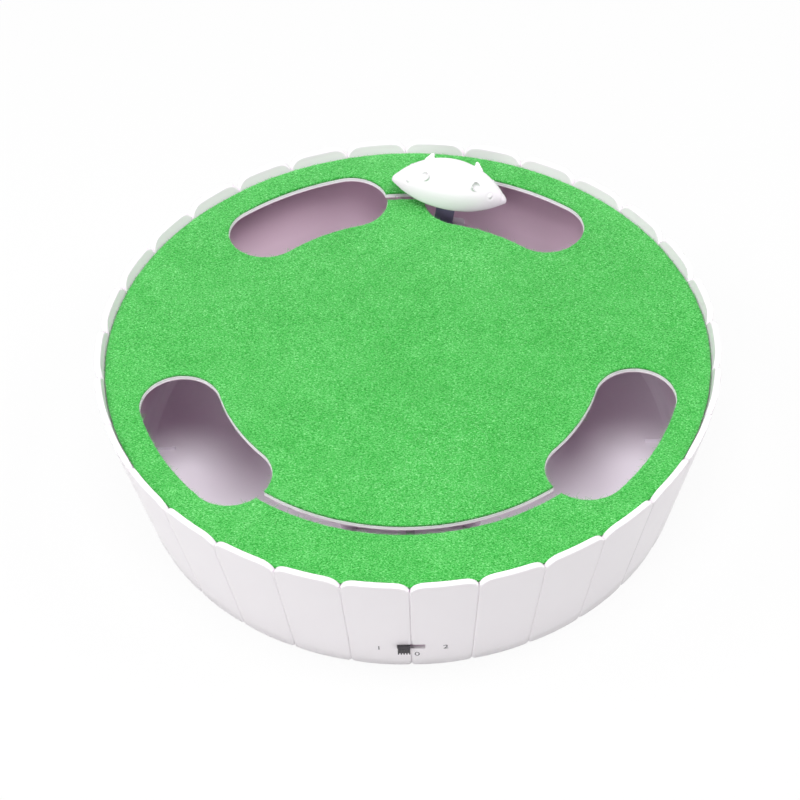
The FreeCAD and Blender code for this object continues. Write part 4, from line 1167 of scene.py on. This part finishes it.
def felt_material(name, loose):
    """Needle-punched polyester felt: matted fibres in every direction, paler where they stand up.
    Loose fibres each have a green of their own, and no relief."""
    material = finish_named(name, "#4CBF56", 0.95, **{
        "Sheen Weight": 0.35, "Sheen Roughness": 0.55, "Specular IOR Level": 0.15})
    spot = add(material, "TexCoord").outputs["Object"]

    # Three lays of fibres, coarser than the real ones so that they show
    lays = []
    for turn, squeeze in ((0.2, 2.6), (-0.35, 2.4), (1.6, 1.7)):
        lay = add(material, "Mapping", {
            "Vector": spot,
            "Rotation": (0.0, 0.0, turn),
            "Scale": (1.0, squeeze, 1.0),
        })
        threads = add(material, "TexNoise", {
            "Vector": lay.outputs["Vector"],
            "Scale": per_mm(0.85),
            "Detail": 2.0,
            "Roughness": 0.6,
            "Distortion": 0.4,
        })
        lays.append(threads.outputs["Fac"])
    pair = add(material, "Math", {0: lays[0], 1: lays[1]}, operation="MAXIMUM")
    mat = add(material, "Math", {0: pair.outputs["Value"], 1: lays[2]}, operation="MAXIMUM")

    clump = add(material, "TexNoise", {
        "Vector": spot,
        "Scale": per_mm(7),
        "Detail": 4.0,
        "Roughness": 0.7,
    })
    patch = add(material, "TexNoise", {"Vector": spot, "Scale": per_mm(42), "Detail": 2.0})
    pile = mat
    for uneven, weight in ((clump, 0.1), (patch, 0.06)):
        pile = add(material, "Math", {
            0: uneven.outputs["Fac"],
            1: weight,
            2: pile.outputs["Value"],
        }, operation="MULTIPLY_ADD")
    greens = add(material, "ValToRGB", {"Fac": pile.outputs["Value"]})
    graded(greens, (0.55, "#0C8419"), (0.79, "#85D787"), (0.67, "#39AF43"))
    colour = greens.outputs["Color"]
    if loose:
        own = add(material, "NewGeometry").outputs["Random Per Island"]
        strand = add(material, "ValToRGB", {"Fac": own})
        graded(strand, (0.0, "#3DA949"), (1.0, "#86D686"), (0.6, "#58C05F"))
        blend = add(material, "Mix", {
            "Factor": 0.82,
            "A": colour,
            "B": strand.outputs["Color"],
        }, data_type="RGBA")
        into(material, blend.outputs["Result"], "Base Color")
        return material
    into(material, colour, "Base Color")
    relief = add(material, "Math", {
        0: mat.outputs["Value"],
        1: clump.outputs["Fac"],
    }, operation="ADD")
    bump = add(material, "Bump", {
        "Height": relief.outputs["Value"],
        "Strength": 0.75,
        "Distance": 0.4 * MM,
    })
    into(material, bump.outputs["Normal"], "Normal")
    return material


def graded(ramp, low, high, middle):
    """Sets a colour ramp's two ends and one stop between them, each a place and a colour."""
    stops = ramp.color_ramp.elements
    for stop, (place, colour) in zip(stops, (low, high)):
        stop.position = place
        stop.color = linear(colour)
    stops.new(middle[0]).color = linear(middle[1])


def metal(name, base, shade, rough, grain_mm, stretch=(1.0, 1.0, 1.0)):
    """Metal with fine tool marks: darker and duller in the grooves."""
    material = finish_named(name, base, rough, Metallic=1.0)
    spot = add(material, "TexCoord").outputs["Object"]
    lay = add(material, "Mapping", {"Vector": spot, "Scale": stretch})
    grain = add(material, "TexNoise", {
        "Vector": lay.outputs["Vector"],
        "Scale": per_mm(grain_mm),
        "Detail": 3.0,
    })
    tint = add(material, "Mix", {
        "Factor": grain.outputs["Fac"],
        "A": linear(base),
        "B": linear(shade),
    }, data_type="RGBA")
    into(material, tint.outputs["Result"], "Base Color")
    dull = add(material, "MapRange", {"Value": grain.outputs["Fac"], **spread(rough, 0.25)})
    into(material, dull.outputs["Result"], "Roughness")
    soft = add(material, "Bevel", {"Radius": 0.12 * MM}, samples=4)
    bump = add(material, "Bump", {
        "Height": grain.outputs["Fac"],
        "Strength": 0.12,
        "Distance": 0.05 * MM,
        "Normal": soft.outputs["Normal"],
    })
    into(material, bump.outputs["Normal"], "Normal")
    return material


def jacket():
    """Printed film round a dry cell: charcoal with a copper-toned band, both unmarked."""
    material = moulded(
        "cell_jacket_film", "#24272C", "#1F2226", 0.24, grain_mm=0.6, grain=0.03)
    charcoal = feeding(material, "Base Color")
    spot = add(material, "TexCoord").outputs["Object"]
    y = add(material, "SeparateXYZ", {"Vector": spot}).outputs["Y"]
    band = add(material, "Math", {0: y, 1: CELL_BAND_Y * MM}, operation="GREATER_THAN")
    tone = add(material, "Mix", {
        "Factor": band.outputs["Value"],
        "A": charcoal,
        "B": linear("#B07A45"),
    }, data_type="RGBA")
    into(material, tone.outputs["Result"], "Base Color")
    return material


def dress(thing, material):
    thing.data.materials.clear()
    thing.data.materials.append(material)


wall_white = wall_plastic()
lawn_board_white = lawn_board_plastic()

# Matt ABS of the inner mouldings: dull, with a little lilac painted shade in its colour, as they
# sit in the tub's shade
inner_white = moulded(
    "housing_abs_matt", "#E8DBE8", "#E3D5E3", 0.45, grain_mm=0.9, grain=0.08, IOR=1.53)

# Moulded acetal of the gears: creamy, with a waxy sheen
gear_acetal = moulded(
    "gear_acetal", "#ECE9E0", "#E6E2D8", 0.34, grain_mm=0.8, grain=0.03, edge_mm=0.12, IOR=1.48)

# ABS from a polished mould: the mouse's clear highlights
mouse_gloss = moulded(
    "mouse_abs_polished", "#FBF3FB", "#F9F1FA", 0.22, grain_mm=1.6, grain=0.01, edge_mm=0,
    **{"IOR": 1.53, "Coat Weight": 0.25, "Coat Roughness": 0.08})

# Nylon of the post, with a grain that scatters the light
post_blue = moulded(
    "post_nylon_blue_grey", "#7A8098", "#70768E", 0.42, grain_mm=0.7, grain=0.1, edge_mm=0.3,
    IOR=1.53)

# Spark-eroded black ABS of the switch, and the greyer acetal of its knob
switch_black = moulded(
    "switch_abs_black", "#18181B", "#1E1E21", 0.4, grain_mm=0.5, grain=0.12, edge_mm=0.15,
    IOR=1.5)
knob_grey = moulded(
    "knob_acetal_grey", "#4C4A4E", "#424044", 0.4, grain_mm=0.5, grain=0.12, edge_mm=0.15,
    IOR=1.48)

# Pad-printed ink: flat and matt beside the glossy wall
print_grey = moulded(
    "pad_print_grey", "#55515A", "#4C4851", 0.55, grain_mm=0.4, grain=0.02, edge_mm=0.02)

# Moulded rubber: dull and coarse
pad_rubber = moulded(
    "foot_rubber", "#2A2A2C", "#232325", 0.72, grain_mm=0.6, grain=0.3, edge_mm=0.5, IOR=1.52)

# Extruded soft PVC: a satin skin
lead_sheath = moulded(
    "lead_soft_pvc", "#C9C6CC", "#C1BEC5", 0.48, grain_mm=0.8, grain=0.05, IOR=1.53)

# Moulded epoxy of the board's parts, and the solder mask that the board is coated with
component_black = moulded(
    "component_epoxy_black", "#1B1B1D", "#222224", 0.5, grain_mm=0.5, grain=0.15, edge_mm=0.1)
solder_mask = moulded(
    "board_solder_mask", "#1F5A33", "#1B502E", 0.35, grain_mm=0.5, grain=0.05)

# Plated screws and springs are satin; ground pins are bright, their marks drawn out along Z
screw_steel = metal("zinc_plated_steel", "#B9BAC0", "#A3A5AD", 0.38, 0.5)
shaft_steel = metal("ground_steel", "#C6C6CA", "#B5B5BA", 0.2, 0.4, (1.0, 1.0, 12.0))
can_steel = metal("motor_can_steel", "#B4B5B8", "#A2A3A7", 0.4, 0.7, (1.0, 1.0, 6.0))
spring_nickel = metal("nickel_plated_spring", "#C9C3B5", "#B7B1A3", 0.38, 0.5)
gear_brass = metal("hobbed_brass", "#D8B46A", "#C49D50", 0.2, 0.3)

felt_green = felt_material("needled_felt_green", False)
fibre_green = felt_material("felt_fibre_green", True)

NODE_FINISHES = (
    (lawn_board_white, ["play_deck"]),
    (inner_white, ["battery_box", "drive_housing", "gearbox_base", "gearbox_cover", "mouse_arm"]),
    (wall_white, ["battery_door"]),
    (gear_acetal, ["first_gear", "second_gear", "output_gear", "rotor_hub", "follower_roller"]),
    (screw_steel, ["deck_screws", "door_screws", "housing_screws"]),
    (screw_steel, ["gearbox_screws", "switch_screws", "mouse_screws"]),
    (shaft_steel, ["gear_axles", "main_shaft", "shaft_clip", "motor_shaft"]),
    (shaft_steel, ["arm_pin", "roller_pin", "tilt_pin", "post_pin"]),
    (can_steel, ["motor"]),
    (gear_brass, ["motor_pinion"]),
    (spring_nickel, ["battery_contacts"]),
    (jacket(), ["aa_cells"]),
    (post_blue, ["mouse_post"]),
    (switch_black, ["switch_body"]),
    (knob_grey, ["switch_knob"]),
    (pad_rubber, ["rubber_feet"]),
    (lead_sheath, ["switch_lead"]),
    (solder_mask, ["control_board"]),
    (component_black, ["board_parts"]),
)
for material, names in NODE_FINISHES:
    for name in names:
        dress(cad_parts[name], material)

tub = fence_tub()
dress(tub, wall_white)
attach(tub, "tub")
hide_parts("fence_tub")

lawn = felt_lawn()
dress(lawn, felt_green)
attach(lawn, "tub")
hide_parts("felt_mat")

fluff = felt_fibres()
dress(fluff, fibre_green)
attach(fluff, "tub")

body, belly = mouse_parts()
for part, node in ((body, "mouse_shell"), (belly, "mouse_base")):
    dress(part, mouse_gloss)
    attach(part, "mouse")
    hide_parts(node)

for text, x, height in NUMBERS:
    number = printed_number(text, x, height)
    dress(number, print_grey)
    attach(number, "tub")

# Floor, light and camera; places are in metres

SOFTBOX_SIZE = 0.75
SOFTBOX_AIM = Vector((0, 0, 0.03))
SOFTBOXES = (
    ("overhead_softbox", (0, -0.363, 1.486), 14.4),
    ("front_softbox", (-0.5, -1.14, 0.87), 5.4),
    ("left_softbox", (-0.964, 0, 1.179), 10.5),
    ("right_softbox", (0.964, 0, 1.179), 10.5),
)
PLAIN_WHITE = (1.0, 1.0, 1.0, 1.0)
FLOOR_WHITE_SHARE = 0.92
FILL_COLOUR = (1.0, 0.985, 1.0, 1.0)
FILL_STRENGTH = 0.1

# The photograph's camera, fitted to the tub's rims and holes
PHOTO_LENS = 107.58
PHOTO_PLACE = (0.007333, -0.671457, 0.743600)
PHOTO_RIGHT = (0.99980426, -0.00433626, -0.01930397)
PHOTO_UP = (0.01640200, 0.72729284, 0.68613126)


def white_rays(owner):
    """1 for the rays that see the background plain white: camera, glossy and transmission."""
    path = add(owner, "LightPath")
    seen = path.outputs["Is Camera Ray"]
    for other in ("Is Glossy Ray", "Is Transmission Ray"):
        either = add(owner, "Math", {0: seen, 1: path.outputs[other]}, operation="MAXIMUM")
        seen = either.outputs["Value"]
    return seen


def pale_floor():
    """Matt white floor. Seen directly it is mostly plain white, and it keeps the soft shadow."""
    half = 3000
    corners = [(-half, -half, 0), (half, -half, 0), (half, half, 0), (-half, half, 0)]
    floor = piece("studio_floor", corners, [(0, 1, 2, 3)])
    material = finish_named("studio_floor_paint", "#D7D7D7", 0.9, **{"Specular IOR Level": 0.1})
    spot = add(material, "TexCoord").outputs["Object"]
    speckle = add(material, "TexNoise", {"Vector": spot, "Scale": per_mm(60), "Detail": 1.0})
    tint = add(material, "Mix", {
        "Factor": speckle.outputs["Fac"],
        "A": linear("#D9D9D9"),
        "B": linear("#D5D5D5"),
    }, data_type="RGBA")
    into(material, tint.outputs["Result"], "Base Color")
    share = add(material, "Math", {
        0: white_rays(material),
        1: FLOOR_WHITE_SHARE,
    }, operation="MULTIPLY")
    glow = add(material, "Emission", {"Color": PLAIN_WHITE, "Strength": 1.0})
    mix = add(material, "MixShader", {
        0: share.outputs["Value"],
        1: material.node_tree.nodes["finish"].outputs["BSDF"],
        2: glow.outputs["Emission"],
    })
    out = material.node_tree.get_output_node("ALL")
    material.node_tree.links.new(mix.outputs["Shader"], out.inputs["Surface"])
    dress(floor, material)


def softbox(name, place, power):
    light = bpy.data.lights.new(name, "AREA")
    light.shape = "DISK"
    light.size = SOFTBOX_SIZE
    light.energy = power
    thing = placed(name, light)
    thing.location = place
    thing.rotation_euler = (SOFTBOX_AIM - Vector(place)).to_track_quat("-Z", "Y").to_euler()


def surroundings():
    """A soft fill from all round, behind a background that looks plain white."""
    world = bpy.data.worlds.new("soft_studio")
    world.use_nodes = True
    world.node_tree.nodes.clear()
    white = add(world, "Background", {"Color": PLAIN_WHITE})
    fill = add(world, "Background", {"Color": FILL_COLOUR, "Strength": FILL_STRENGTH})
    mix = add(world, "MixShader", {
        0: white_rays(world),
        1: fill.outputs["Background"],
        2: white.outputs["Background"],
    })
    add(world, "OutputWorld", {"Surface": mix.outputs["Shader"]})
    bpy.context.scene.world = world


def photo_camera():
    data = bpy.data.cameras.new("photo_camera")
    data.lens = PHOTO_LENS
    data.sensor_width = 36.0
    data.clip_start = 0.05
    data.clip_end = 20.0
    camera = placed("photo_camera", data)
    right = Vector(PHOTO_RIGHT)
    over = Vector(PHOTO_UP)
    turn = Matrix((right, over, right.cross(over))).transposed()
    camera.matrix_world = Matrix.Translation(PHOTO_PLACE) @ turn.to_4x4()
    bpy.context.scene.camera = camera


pale_floor()
for name, place, power in SOFTBOXES:
    softbox(name, place, power)
surroundings()
photo_camera()
bpy.context.scene.view_settings.view_transform = "Standard"
